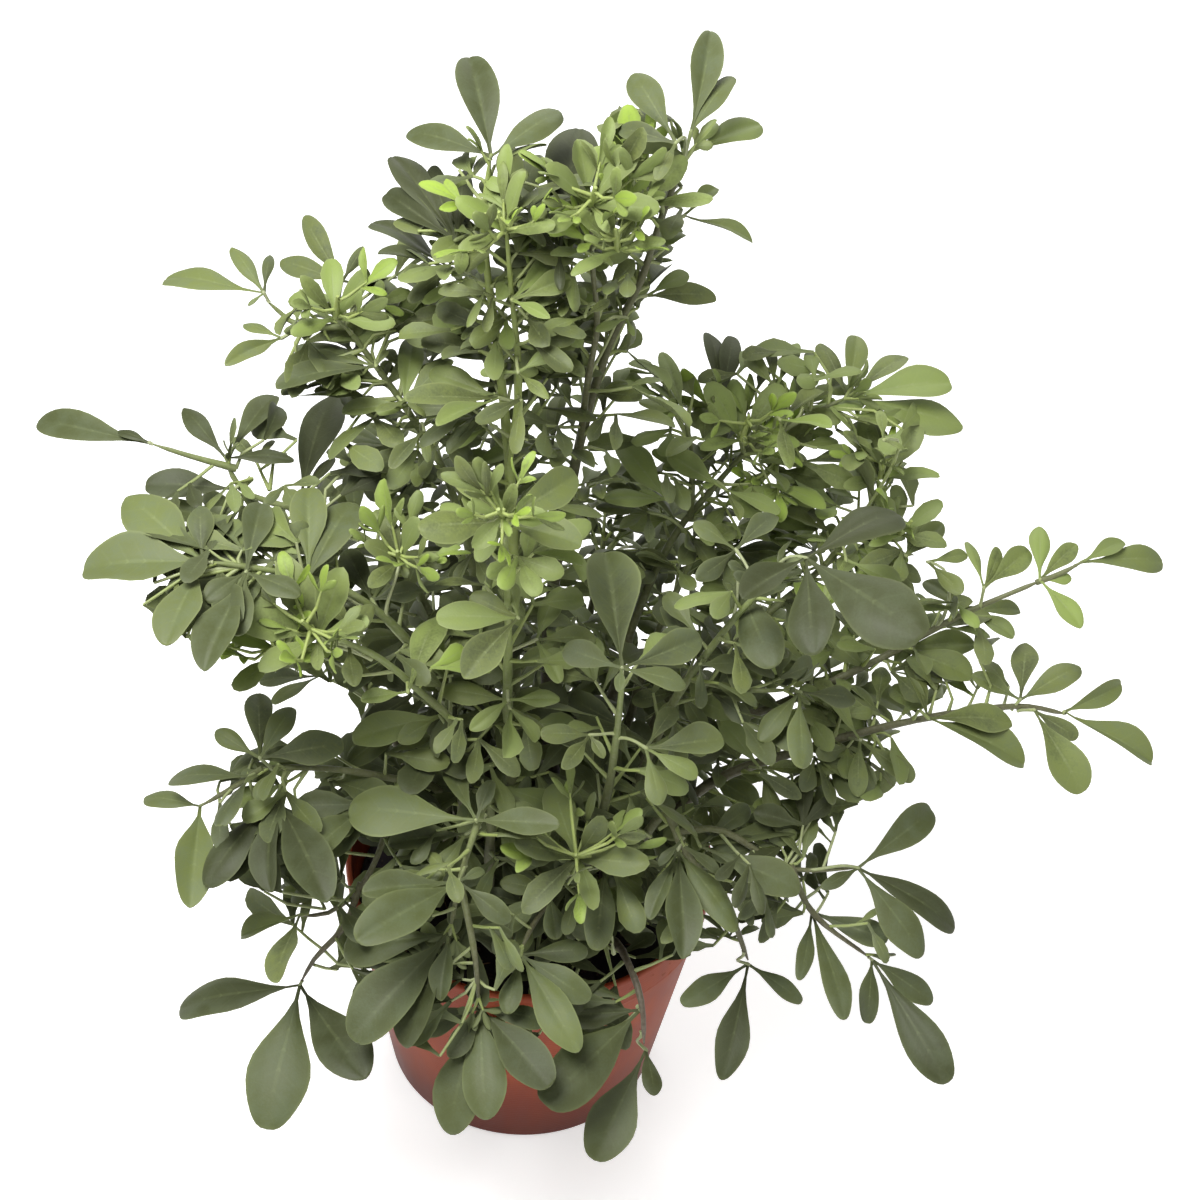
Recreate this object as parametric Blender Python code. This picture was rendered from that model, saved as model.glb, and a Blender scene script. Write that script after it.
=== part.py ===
"""A rue plant in a round plastic nursery pot, modelled in metres with +Z up.

The origin is the middle of the pot's underside and the front faces -Y.
Places read off the photograph are pixels of its square frame, 1200 by 1200,
with a depth: the world Y at which that line of sight is cut.
"""

import math
import random
from collections import namedtuple
from itertools import product

import bmesh
import bpy
from mathutils import Quaternion, Vector
from mathutils.bvhtree import BVHTree

# Driving dimensions of the pot
RIM_DIAMETER = 0.120
POT_HEIGHT = 0.088
BASE_DIAMETER = 0.090
POT_WALL = 0.0014
LIP_HEIGHT = 0.0125
LIP_PROUD = 0.0022
LIP_WALL = 0.0018
LIP_STEP = 0.002
EDGE_ROUND = 0.0012
FLOOR_THICKNESS = 0.002
DRAIN_HOLE = 0.009
DRAIN_RING = 0.027
DRAIN_HOLES = 6
DRAIN_TURN = 0.35
DRAIN_SIDES = 8
POT_SIDES = 32
SHARP_EDGE = math.radians(32.0)
TERRACOTTA = (0.40, 0.085, 0.050)

# Driving dimensions of the soil
SOIL_TOP = POT_HEIGHT - 0.011
SOIL_DOME = 0.003
SOIL_SLOPE = 0.010
SOIL_SIDES = 28
SOIL_GAP = 0.00045
FIT_GAP = 0.0003
PEAT = (0.022, 0.016, 0.015)
STEM_DEPTH = 0.016
HOLE_ROOM = 0.00075
HOLE_SIDES = 6

# Driving dimensions of the plant
LEAF_GREEN = (0.155, 0.200, 0.105)
STEM_TIP_RADIUS = 0.0011
TWIG_RADIUS = 0.0010
TWIG_TIP_RADIUS = 0.0008
PETIOLE_WIDTH = 0.0012
LONG_PETIOLE = 0.022
SHORTEST_PETIOLE = 0.005
PETIOLE_PULL = 0.30
SMALL_BLADE = 0.020
BLADE_THICKNESS = 0.0007
BLADE_WIDTH = 0.46
SHOULDER_AT = 0.66
TIP_WIDTH = 0.52
HUB_RADIUS = 0.0017
HEEL_RADIUS = 0.0027
STUB_LENGTH = 0.0012
LONGEST_BLADE = 0.040
SHORTEST_BLADE = 0.008
NARROWEST_BLADE = 0.0024
BLADE_ARCH = 0.07
BLADE_ROLL = math.radians(24.0)
WIDEST_NOTCH = math.radians(68.0)
WIDEST_ROOM = math.radians(65.0)
BLADES_APART = math.radians(3.0)
CLOSEST_LEAFLETS = math.radians(24.0)
SPREAD_ROUNDS = 12
PETIOLE_ROOM = math.radians(36.0)
PETIOLE_CLEAR = math.radians(29.0)
HEEL_TURN = math.radians(24.0)
YOUNG_WIDTH = 0.40
YOUNG_LEAVES = 6
YOUNG_RISE = math.radians(34.0)
YOUNG_RISE_BY_TURNS = math.radians(14.0)
FAN_STEP = math.radians(41.0)
LEAVE_BACK = 0.45
LEAF_UNREST = 0.26
LEAFLET_UNREST = 0.22
HANG_BELOW = 0.26
LEAN_OUT = 0.12
LEAN_OUT_MORE = 0.55
CLEARANCE = 0.0006
FLOOR_MARGIN = 0.006
SHIFTS = [0.0]
for step in range(1, 8):
    SHIFTS += [0.004 * step, -0.004 * step]
SCALES = (1.0, 0.8)
CALMS = (1.0, 0.5, 0.0)
NUDGES = (0.0, 0.35, -0.35, 0.7, -0.7, 1.1, -1.1, 1.6, -1.6)
STEM_SIDES = 5
TWIG_SIDES = 4
STEM_COLLAR = 0.006
BACK_RADIUS = 0.0020
CURVE_STEPS = 6
STEM_SPACING = 0.027
TWIG_SPACING = 0.016
SOLVER = "MANIFOLD"
SAME_PLANE = math.radians(0.5)
SAME_PLACE = 0.000002
GOLDEN_ANGLE = math.radians(137.5)
SEEDS_A_SHOOT = 100
YOUNG_SEED = 5000
BACK_SEED = 9000
UP = Vector((0.0, 0.0, 1.0))
YOUNG_LEAN = Vector((0.0, -0.35, 0.0))

# The photographer's eye, for places that are read off the photograph
EYE = Vector((0.0, -0.551, 0.660))
AIM = Vector((0.0168, 0.0, 0.1986))
ROLL = math.radians(4.0)
FOCAL_PIXELS = 2420.0
MIDDLE_PIXEL = 600.0

LOOK = (AIM - EYE).normalized()
LEVEL = LOOK.cross(UP).normalized()
RIGHT = math.cos(ROLL) * LEVEL + math.sin(ROLL) * LEVEL.cross(LOOK)
ABOVE = RIGHT.cross(LOOK)


def sight(across, down):
    """Direction from the eye through a pixel."""
    ray = LOOK + RIGHT * (across - MIDDLE_PIXEL) / FOCAL_PIXELS
    return ray + ABOVE * (MIDDLE_PIXEL - down) / FOCAL_PIXELS


def seen(across, down, depth):
    """World place of a pixel whose world Y is depth."""
    ray = sight(across, down)
    return EYE + ray * (depth - EYE.y) / ray.y


Spray = namedtuple("Spray", "across down depth tips")
Young = namedtuple("Young", "across down depth size")
Shoot = namedtuple("Shoot", "name foot radius course twigs sprays young")


def spray(across, down, depth, *tips):
    """A leaf's hub and the ends of the leaflets that fan out from it."""
    return Spray(across, down, depth, tips)


def shoot(name, foot, radius, course, twigs=(), sprays=(), young=()):
    """One leafy stem: its foot in the soil, its course and what grows on it."""
    return Shoot(name, foot, radius, course, twigs, sprays, young)


SHOOTS = [
    shoot(
        "shoot_tall_left", (-0.007, 0.004), 0.0026,
        [(514, 640, -0.004), (510, 480, 0.0), (498, 350, 0.0), (484, 235, 0.0),
         (490, 158, 0.002)],
        twigs=[[(512, 470, -0.006), (519, 380, -0.008), (511, 290, -0.008),
                (506, 225, -0.006)]],
        sprays=[
            spray(491, 156, 0.002, (405, 130), (470, 60), (556, 112)),
            spray(456, 240, -0.004, (388, 194), (400, 168), (432, 172), (464, 170)),
            spray(450, 268, 0.006, (379, 224), (378, 252), (405, 305)),
            spray(511, 215, -0.014, (509, 148), (541, 153), (545, 245), (482, 180)),
            spray(494, 318, 0.0, (436, 300), (462, 340)),
            spray(512, 300, -0.016, (548, 262), (572, 278), (550, 318)),
            spray(500, 398, -0.004, (430, 372), (436, 425), (404, 400)),
            spray(518, 372, -0.018, (556, 350), (548, 398), (480, 372)),
        ],
        young=[Young(505, 232, -0.010, 0.017)],
    ),
    shoot(
        "shoot_tall_right", (0.009, 0.008), 0.0026,
        [(548, 640, 0.008), (576, 460, 0.014), (608, 348, 0.016), (641, 280, 0.018),
         (660, 222, 0.020), (687, 152, 0.022)],
        twigs=[[(574, 452, 0.006), (588, 380, 0.002), (597, 325, 0.0),
                (592, 262, -0.002), (590, 215, -0.002)]],
        sprays=[
            spray(691, 132, 0.022, (709, 38), (732, 76)),
            spray(692, 151, 0.020, (762, 121), (717, 122)),
            spray(676, 143, 0.014, (655, 180), (618, 128), (634, 76)),
            spray(684, 216, 0.016, (716, 188), (754, 240)),
            spray(646, 296, 0.016, (688, 272), (716, 297)),
            spray(626, 318, 0.012, (596, 330), (634, 336)),
            spray(560, 250, -0.004, (577, 142), (540, 190), (532, 232), (560, 290)),
            spray(585, 316, -0.006, (540, 334), (560, 296), (610, 300)),
            spray(597, 392, 0.010, (628, 382), (642, 398)),
            spray(552, 448, 0.004, (562, 392), (536, 402)),
        ],
        young=[Young(590, 205, -0.004, 0.021), Young(640, 205, 0.008, 0.020),
               Young(618, 250, -0.004, 0.018)],
    ),
    shoot(
        "shoot_left_high", (-0.015, 0.012), 0.0021,
        [(478, 600, 0.002), (448, 480, 0.008), (420, 430, 0.012), (385, 378, 0.016),
         (345, 325, 0.018)],
        twigs=[[(345, 326, 0.018), (300, 326, 0.020), (266, 300, 0.022)]],
        sprays=[
            spray(264, 293, 0.022, (167, 277), (232, 248), (270, 254), (249, 305)),
            spray(342, 281, 0.016, (306, 219), (282, 262), (363, 247), (398, 292)),
            spray(282, 338, 0.016, (243, 323), (225, 364)),
            spray(376, 366, 0.008, (300, 346), (275, 384), (388, 350)),
            spray(404, 404, 0.006, (342, 412), (413, 337), (452, 358)),
            spray(424, 430, 0.000, (390, 468), (428, 462)),
        ],
        young=[Young(336, 318, 0.014, 0.020)],
    ),
    shoot(
        "shoot_left_far", (-0.022, 0.003), 0.0020,
        [(440, 640, -0.004), (392, 560, -0.004), (330, 520, -0.004),
         (245, 492, -0.004), (226, 462, -0.002)],
        twigs=[[(228, 474, -0.004), (190, 456, -0.004), (152, 444, -0.004)]],
        sprays=[
            spray(150, 443, -0.004, (35, 420), (118, 430)),
            spray(226, 458, -0.002, (184, 409), (272, 400), (294, 457)),
            spray(234, 489, -0.006, (145, 484), (262, 514)),
            spray(300, 498, 0.002, (324, 420), (334, 458)),
            spray(356, 532, 0.004, (352, 470), (400, 505)),
        ],
    ),
    shoot(
        "shoot_left_mid", (-0.022, -0.008), 0.0021,
        [(446, 700, -0.026), (400, 632, -0.034), (345, 590, -0.038),
         (285, 573, -0.042), (210, 562, -0.046)],
        sprays=[
            spray(203, 562, -0.046, (82, 568), (126, 497), (201, 506), (165, 646)),
            spray(246, 572, -0.048, (262, 502), (206, 600), (204, 670), (238, 636),
                  (300, 596)),
            spray(308, 577, -0.044, (308, 488), (352, 500)),
            spray(372, 600, -0.030, (345, 548), (402, 545), (420, 590)),
        ],
        young=[Young(400, 560, -0.028, 0.016)],
    ),
    shoot(
        "shoot_left_low", (-0.021, -0.019), 0.0020,
        [(455, 730, -0.042), (418, 690, -0.050), (376, 656, -0.056),
         (330, 636, -0.060)],
        sprays=[
            spray(349, 646, -0.058, (355, 687), (372, 604)),
            spray(408, 692, -0.050, (361, 699), (438, 612)),
            spray(440, 716, -0.042, (352, 738), (398, 742), (470, 668)),
        ],
        young=[Young(318, 636, -0.062, 0.024), Young(280, 652, -0.060, 0.018)],
    ),
    shoot(
        "shoot_left_droop", (-0.027, -0.009), 0.0020,
        [(440, 792, -0.034), (380, 776, -0.042), (320, 768, -0.046),
         (262, 768, -0.048)],
        twigs=[[(262, 770, -0.048), (232, 788, -0.048), (203, 805, -0.048)],
               [(380, 806, -0.044), (366, 880, -0.056), (330, 912, -0.060),
                (300, 916, -0.060)],
               [(366, 890, -0.056), (345, 925, -0.064), (315, 958, -0.068),
                (301, 982, -0.070)]],
        sprays=[
            spray(260, 758, -0.050, (215, 730), (258, 693), (293, 706), (344, 744)),
            spray(250, 776, -0.050, (168, 778), (218, 825)),
            spray(200, 806, -0.048, (143, 796), (190, 908)),
            spray(276, 796, -0.052, (205, 886), (268, 890), (328, 904)),
            spray(300, 915, -0.062, (240, 936), (274, 980)),
            spray(300, 985, -0.070, (176, 1006), (265, 1127), (368, 1082)),
            spray(330, 780, -0.040, (392, 730), (345, 838), (392, 800)),
        ],
    ),
    shoot(
        "shoot_front_left", (-0.013, -0.027), 0.0021,
        [(490, 790, -0.052), (478, 822, -0.060), (462, 872, -0.068),
         (450, 930, -0.076)],
        twigs=[[(458, 890, -0.072), (474, 950, -0.084), (479, 1002, -0.086)]],
        sprays=[
            spray(476, 820, -0.062, (348, 808), (449, 766), (560, 826), (492, 780)),
            spray(466, 834, -0.070, (388, 843), (431, 882)),
            spray(458, 882, -0.074, (362, 893), (358, 938), (510, 922), (484, 870)),
            spray(450, 934, -0.078, (344, 950), (352, 1040), (402, 1046), (440, 1000)),
            spray(480, 1008, -0.088, (412, 1030), (449, 1057), (447, 1134), (486, 1119),
                  (550, 1087), (545, 1022), (466, 985)),
        ],
    ),
    shoot(
        "shoot_front_low", (0.003, -0.031), 0.0019,
        [(556, 880, -0.046), (572, 868, -0.054)],
        twigs=[[(552, 900, -0.050), (530, 930, -0.062), (521, 950, -0.070)]],
        sprays=[
            spray(521, 955, -0.072, (506, 1012), (578, 1050), (590, 1000), (588, 950)),
            spray(606, 866, -0.052, (596, 950), (645, 842), (644, 902)),
            spray(548, 890, -0.056, (498, 930), (556, 940), (500, 882)),
        ],
        young=[Young(577, 858, -0.058, 0.026)],
    ),
    shoot(
        "shoot_front_right", (0.013, -0.026), 0.0021,
        [(606, 800, -0.046), (616, 740, -0.052), (623, 674, -0.056)],
        sprays=[
            spray(622, 668, -0.058, (606, 552), (563, 648), (619, 692), (686, 686),
                  (703, 636)),
            spray(646, 748, -0.058, (724, 741), (698, 776), (660, 804), (676, 706)),
            spray(590, 735, -0.056, (563, 768), (604, 758), (541, 734)),
            spray(600, 800, -0.044, (560, 790), (640, 806)),
        ],
    ),
    shoot(
        "shoot_front_top", (-0.002, -0.015), 0.0024,
        [(508, 720, -0.034), (508, 620, -0.044), (504, 528, -0.052)],
        sprays=[
            spray(500, 522, -0.056, (418, 528), (456, 476), (480, 470), (576, 474),
                  (581, 546), (478, 562)),
            spray(518, 618, -0.046, (464, 678), (436, 618), (508, 580), (470, 596)),
            spray(536, 640, -0.040, (560, 586), (596, 640), (560, 682)),
            spray(508, 700, -0.036, (440, 690), (470, 730), (560, 700)),
        ],
        young=[Young(503, 516, -0.060, 0.014)],
    ),
    shoot(
        "shoot_right_top", (0.016, 0.011), 0.0022,
        [(628, 640, 0.014), (672, 540, 0.026), (720, 480, 0.034), (764, 432, 0.040)],
        twigs=[[(742, 456, 0.036), (800, 420, 0.042), (850, 396, 0.046)],
               [(690, 516, 0.030), (692, 456, 0.030), (684, 416, 0.028)]],
        sprays=[
            spray(683, 412, 0.028, (638, 374), (662, 353), (640, 402)),
            spray(722, 402, 0.036, (712, 346), (732, 345)),
            spray(776, 388, 0.044, (746, 356), (764, 342), (798, 342)),
            spray(848, 396, 0.048, (820, 344), (858, 334), (906, 356), (951, 382),
                  (963, 428)),
            spray(780, 420, 0.034, (826, 392), (834, 428), (790, 470)),
            spray(668, 500, 0.018, (620, 442), (640, 490), (604, 500)),
            spray(726, 490, 0.024, (668, 455), (740, 520), (780, 512)),
        ],
        young=[Young(742, 440, 0.034, 0.022), Young(772, 470, 0.028, 0.021)],
    ),
    shoot(
        "shoot_right_bright", (0.024, 0.006), 0.0020,
        [(668, 700, 0.010), (760, 620, 0.022), (830, 560, 0.030), (876, 500, 0.036)],
        sprays=[
            spray(884, 440, 0.036, (880, 410), (904, 448)),
            spray(906, 556, 0.026, (942, 524), (922, 512), (866, 548)),
            spray(846, 560, 0.020, (902, 588), (826, 600)),
            spray(760, 606, 0.020, (700, 590), (724, 640), (782, 640)),
        ],
        young=[Young(880, 478, 0.036, 0.022), Young(900, 534, 0.030, 0.018)],
    ),
    shoot(
        "shoot_right_far", (0.027, -0.002), 0.0020,
        [(680, 748, 0.000), (790, 700, 0.006), (877, 660, 0.012), (963, 614, 0.018),
         (1040, 581, 0.022)],
        twigs=[[(1036, 582, 0.022), (1060, 574, 0.024), (1082, 562, 0.026)]],
        sprays=[
            spray(1040, 580, 0.022, (1040, 525), (1076, 545), (1072, 578), (1081, 628)),
            spray(1082, 562, 0.026, (1124, 540), (1166, 560)),
            spray(984, 588, 0.018, (970, 540), (998, 548), (1029, 550)),
            spray(968, 612, 0.018, (1018, 610), (1014, 636), (924, 580)),
            spray(928, 562, 0.022, (968, 554), (962, 594)),
            spray(900, 648, 0.010, (940, 612), (976, 642), (972, 676)),
            spray(836, 684, 0.006, (872, 640), (914, 714), (806, 640)),
        ],
    ),
    shoot(
        "shoot_right_low", (0.027, -0.012), 0.0020,
        [(700, 790, -0.016), (822, 744, -0.010), (926, 718, -0.004),
         (1020, 706, 0.002), (1066, 714, 0.004)],
        sprays=[
            spray(1020, 700, 0.002, (1026, 642), (1079, 668), (972, 674)),
            spray(1064, 712, 0.004, (1120, 684), (1151, 764)),
            spray(1034, 710, -0.002, (1078, 738), (1082, 793)),
            spray(928, 718, -0.006, (1014, 720), (1027, 762), (908, 666)),
            spray(860, 740, -0.014, (914, 780), (858, 796), (824, 690)),
            spray(760, 768, -0.020, (722, 720), (806, 770), (776, 816)),
        ],
    ),
    shoot(
        "shoot_right_mid", (0.021, -0.017), 0.0022,
        [(664, 720, -0.022), (720, 636, -0.024), (770, 580, -0.024)],
        twigs=[[(690, 680, -0.024), (744, 690, -0.026), (790, 690, -0.028)]],
        sprays=[
            spray(806, 558, -0.024, (898, 510), (922, 634), (814, 655), (742, 600)),
            spray(736, 550, -0.022, (696, 580), (694, 522), (776, 514)),
            spray(738, 580, -0.030, (726, 612), (774, 668)),
            spray(800, 692, -0.030, (800, 768), (856, 700), (760, 740)),
            spray(700, 664, -0.026, (664, 604), (742, 664), (700, 708)),
        ],
    ),
    shoot(
        "shoot_right_droop", (0.022, -0.028), 0.0020,
        [(664, 812, -0.044), (684, 850, -0.050), (724, 900, -0.056),
         (748, 960, -0.062)],
        twigs=[[(676, 836, -0.048), (720, 830, -0.048), (790, 868, -0.048),
                (858, 868, -0.046)],
               [(790, 868, -0.048), (812, 912, -0.054), (870, 958, -0.058)]],
        sprays=[
            spray(678, 850, -0.052, (684, 956), (650, 920), (738, 928)),
            spray(700, 846, -0.048, (800, 892), (800, 830), (750, 806)),
            spray(858, 868, -0.046, (935, 808), (959, 928), (922, 957), (822, 888)),
            spray(748, 964, -0.062, (682, 1003), (722, 1079), (803, 1002)),
            spray(812, 912, -0.054, (845, 1018), (800, 978), (888, 940)),
            spray(872, 960, -0.058, (868, 1022), (948, 1082), (933, 1003)),
        ],
    ),
    shoot(
        "shoot_front_droop", (0.012, -0.036), 0.0018,
        [(612, 940, -0.050), (632, 972, -0.064), (642, 1006, -0.074),
         (644, 1044, -0.080)],
        sprays=[
            spray(640, 1010, -0.074, (560, 1014), (545, 1104)),
            spray(646, 1050, -0.080, (594, 1160), (654, 1096)),
        ],
    ),
]


# Shoots behind, which the front of the bush hides: they follow one rule
BACK_SHOOTS = 4
BACK_FROM = math.radians(28.0)
BACK_TO = math.radians(166.0)
BACK_FOOT = (0.024, 0.030)
BACK_REACH = (0.054, 0.070)
BACK_HEIGHT = (0.205, 0.170)
BACK_MIDDLE = (0.72, 0.80)
BACK_LEAVES = 5
BACK_LEAFLETS = (-2, -1, 0, 1, 2)
BACK_LOWEST_LEAF = 0.34
BACK_LEAFLET = (0.0275, 0.0188)
BACK_PETIOLE = (0.0345, 0.0225)
BACK_LEAN_OUT = 0.45
BACK_LEAN_UP = 0.35
BACK_OUTER_SHORTER = 0.09


def smooth(points, spacing):
    """Evenly spaced places on a smooth curve through the points."""
    ways = []
    for index in range(len(points)):
        before = points[max(index - 1, 0)]
        after = points[min(index + 1, len(points) - 1)]
        ways.append((after - before).normalized())
    fine = [points[0]]
    for index, (start, end) in enumerate(zip(points, points[1:])):
        pull = (end - start).length
        for step in range(1, CURVE_STEPS + 1):
            t = step / CURVE_STEPS
            near = (1 - t) ** 2 * ((1 + 2 * t) * start + t * pull * ways[index])
            far = t ** 2 * ((3 - 2 * t) * end - (1 - t) * pull * ways[index + 1])
            fine.append(near + far)
    passed = [0.0]
    for start, end in zip(fine, fine[1:]):
        passed.append(passed[-1] + (end - start).length)
    count = max(round(passed[-1] / spacing), 2)
    places = []
    for step in range(count):
        goal = passed[-1] * step / count
        index = max(i for i, length in enumerate(passed) if length <= goal)
        share = (goal - passed[index]) / (passed[index + 1] - passed[index])
        places.append(fine[index].lerp(fine[index + 1], share))
    return places + [points[-1]]


def tube(points, radii, sides):
    """A closed tube of flat sides through the points, with flat ends."""
    vertices = []
    faces = []
    heading = (points[1] - points[0]).normalized()
    across = heading.orthogonal().normalized()
    for index, (point, radius) in enumerate(zip(points, radii)):
        before = points[max(index - 1, 0)]
        after = points[min(index + 1, len(points) - 1)]
        turned = (after - before).normalized()
        across = heading.rotation_difference(turned) @ across
        heading = turned
        other = heading.cross(across)
        for side in range(sides):
            angle = math.tau * side / sides
            spoke = across * math.cos(angle) + other * math.sin(angle)
            vertices.append(point + spoke * radius)
    for ring in range(len(points) - 1):
        for side in range(sides):
            near = ring * sides + side
            beside = ring * sides + (side + 1) % sides
            faces.append((near, beside, beside + sides))
            faces.append((near, beside + sides, near + sides))
    last = (len(points) - 1) * sides
    for side in range(1, sides - 1):
        faces.append((0, side + 1, side))
        faces.append((last, last + side, last + side + 1))
    return vertices, faces


def plate(vertices, normals, faces, rim, thickness):
    """The closed solid of even thickness about a sheet of triangles."""
    count = len(vertices)
    half = thickness / 2
    upper = [place + normal * half for place, normal in zip(vertices, normals)]
    lower = [place - normal * half for place, normal in zip(vertices, normals)]
    solid_faces = list(faces)
    for a, b, c in faces:
        solid_faces.append((c + count, b + count, a + count))
    for a, b in zip(rim, rim[1:] + rim[:1]):
        solid_faces.append((a + count, b + count, b))
        solid_faces.append((a + count, b, a))
    return upper + lower, solid_faces


def turn_about(facing, root, reach):
    """How far a reach lies round a leaf's hub from its root, from 0 to a whole turn."""
    return math.atan2(reach.dot(facing.cross(root)), reach.dot(root)) % math.tau


def root_of(hub, facing, start, ends):
    """Which way a petiole leaves its leaf: toward the stem, but between leaflets."""
    toward = start - hub
    root = (toward - facing * toward.dot(facing)).normalized()
    turns = [turn_about(facing, root, end - hub) for end in ends]
    low = max(turns) - math.tau + PETIOLE_ROOM
    high = min(turns) - PETIOLE_ROOM
    turn = min(max(0.0, low), high) if low < high else (low + high) / 2
    return Quaternion(facing, turn) @ root


def spaced(turns):
    """Turns pushed apart until leaflets clear each other and the petiole."""
    turns = list(turns)
    for _ in range(SPREAD_ROUNDS):
        turns[0] = max(turns[0], PETIOLE_CLEAR)
        turns[-1] = min(turns[-1], math.tau - PETIOLE_CLEAR)
        for index in range(1, len(turns)):
            short = CLOSEST_LEAFLETS - (turns[index] - turns[index - 1])
            if short > 0.0:
                turns[index - 1] -= short / 2
                turns[index] += short / 2
    return turns


def fan(hub, facing, root, petiole, ends, width, roll, draw, spare=0.0):
    """A leaf as one thin plate: leaflets cut to the rib round a hub, and a petiole.

    Facing is the side that the leaf turns to the light, root the way its petiole
    leaves it, petiole the stalk's further places back to the stem, ends the
    leaflets' far ends, roll the most that one turns about its rib and spare an
    extra thickness.
    """
    side = facing.cross(root)
    reaches = [end - hub for end in ends]
    reaches.sort(key=lambda reach: turn_about(facing, root, reach))
    seen_turns = [turn_about(facing, root, reach) for reach in reaches]
    turns = spaced(seen_turns)
    for index, (turn, was) in enumerate(zip(turns, seen_turns)):
        reaches[index] = Quaternion(facing, turn - was) @ reaches[index]
    edges = [max(turns[0] / 2, turns[0] - WIDEST_NOTCH, HEEL_TURN)]
    edges += [(a + b) / 2 for a, b in zip(turns, turns[1:])]
    last = min((turns[-1] + math.tau) / 2, turns[-1] + WIDEST_NOTCH)
    edges.append(min(last, math.tau - HEEL_TURN))
    vertices = []
    normals = []
    ribbon = [hub + root * HEEL_RADIUS] + petiole
    for index, place in enumerate(ribbon):
        before = ribbon[max(index - 1, 0)]
        after = ribbon[min(index + 1, len(ribbon) - 1)]
        away = (after - before).normalized()
        across = (side - away * side.dot(away)).normalized()
        vertices.append(place + across * PETIOLE_WIDTH / 2)
        vertices.append(place - across * PETIOLE_WIDTH / 2)
        normals += [away.cross(across)] * 2
    normals[0:2] = [(normals[0] + facing).normalized()] * 2
    first_notch = len(vertices)
    for edge in edges:
        spoke = root * math.cos(edge) + side * math.sin(edge)
        vertices.append(hub + spoke * HUB_RADIUS)
        normals.append(facing)
    middle = len(vertices)
    vertices.append(hub)
    normals.append(facing)
    faces = []
    for pair in range(0, first_notch - 2, 2):
        faces.append((pair + 1, pair + 3, pair + 2))
        faces.append((pair + 1, pair + 2, pair))
    hub_rim = [1, 0] + list(range(first_notch, middle)) + [1]
    for near, beside in zip(hub_rim, hub_rim[1:]):
        faces.append((middle, near, beside))
    rim = [0, first_notch]
    for index, reach in enumerate(reaches):
        length = min(max(reach.length, SHORTEST_BLADE), LONGEST_BLADE)
        along = reach.normalized()
        room = min(edges[index + 1] - turns[index], turns[index] - edges[index])
        half = width * length / 2 * draw.uniform(0.88, 1.12)
        room = min(room - BLADES_APART, WIDEST_ROOM)
        half = min(half, SHOULDER_AT * length * math.tan(room))
        half = max(half, NARROWEST_BLADE / 2) + spare / 2
        flat = (facing - along * facing.dot(along)).normalized()
        up = Quaternion(along, draw.uniform(-roll, roll)) @ flat
        across = up.cross(along)
        shoulder = hub + along * length * SHOULDER_AT + up * length * BLADE_ARCH
        tip = hub + along * length
        first = len(vertices)
        right_root = first_notch + index
        left_root = right_root + 1
        faces.append((right_root, first, first + 1))
        faces.append((right_root, first + 1, left_root))
        vertices.append(shoulder - across * half)
        vertices.append(shoulder + across * half)
        if length > SMALL_BLADE:
            vertices.append(tip - across * half * TIP_WIDTH)
            vertices.append(tip + across * half * TIP_WIDTH)
            faces.append((first, first + 2, first + 3))
            faces.append((first, first + 3, first + 1))
            rim += [first, first + 2, first + 3, first + 1, left_root]
        else:
            vertices.append(tip)
            faces.append((first, first + 2, first + 1))
            rim += [first, first + 2, first + 1, left_root]
        normals += [up] * (len(vertices) - first)
    rim += range(1, first_notch, 2)
    rim += range(first_notch - 2, 0, -2)
    return plate(vertices, normals, faces, rim, BLADE_THICKNESS + spare)


class Axis:
    """A stem or twig: its places, its radii and the tube round them."""

    def __init__(self, points, start_radius, end_radius, sides):
        self.points = points
        last = len(points) - 1
        slope = (end_radius - start_radius) / last
        self.radii = [start_radius + slope * index for index in range(last + 1)]
        self.tube = tube(points, self.radii, sides)

    def nearest(self, place):
        """How far a place lies from the axis, and how far along it that is."""
        best = (math.inf, 0.0)
        passed = 0.0
        for start, end in zip(self.points, self.points[1:]):
            run = end - start
            share = min(max((place - start).dot(run) / run.length_squared, 0.0), 1.0)
            distance = (place - start - run * share).length
            best = min(best, (distance, passed + run.length * share))
            passed += run.length
        return best

    def leave(self, place):
        """Where a petiole to the place leaves the axis, and the axis's way there."""
        distance, along = self.nearest(place)
        left = max(along - distance * LEAVE_BACK, 0.0)
        for start, end in zip(self.points, self.points[1:]):
            run = end - start
            if left <= run.length:
                break
            left -= run.length
        return start + run.normalized() * left, run.normalized()


class Thicket:
    """The solids placed so far, which a new one has to keep clear of."""

    def __init__(self):
        self.solids = []

    def add(self, owner, kind, solid):
        vertices, faces = solid
        self.solids.append((owner, kind, box_of(vertices), tree_of(solid)))

    def hits(self, solid, ignores):
        """Whether a solid cuts one that it may not cut."""
        low, high = box_of(solid[0])
        tree = tree_of(solid)
        for owner, kind, (other_low, other_high), other_tree in self.solids:
            if ignores(owner, kind):
                continue
            if any(low[i] > other_high[i] or high[i] < other_low[i] for i in range(3)):
                continue
            if tree.overlap(other_tree):
                return True
        return False


def box_of(vertices):
    low = [min(place[i] for place in vertices) for i in range(3)]
    high = [max(place[i] for place in vertices) for i in range(3)]
    return low, high


def tree_of(solid):
    vertices, faces = solid
    return BVHTree.FromPolygons(vertices, faces)


def crosses_itself(solid):
    """Whether two faces of a solid that share no corner meet."""
    faces = solid[1]
    tree = tree_of(solid)
    return any(not set(faces[a]) & set(faces[b]) for a, b in tree.overlap(tree))


def outward_of(place):
    return Vector((place.x, place.y, 0.0)).normalized()


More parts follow.
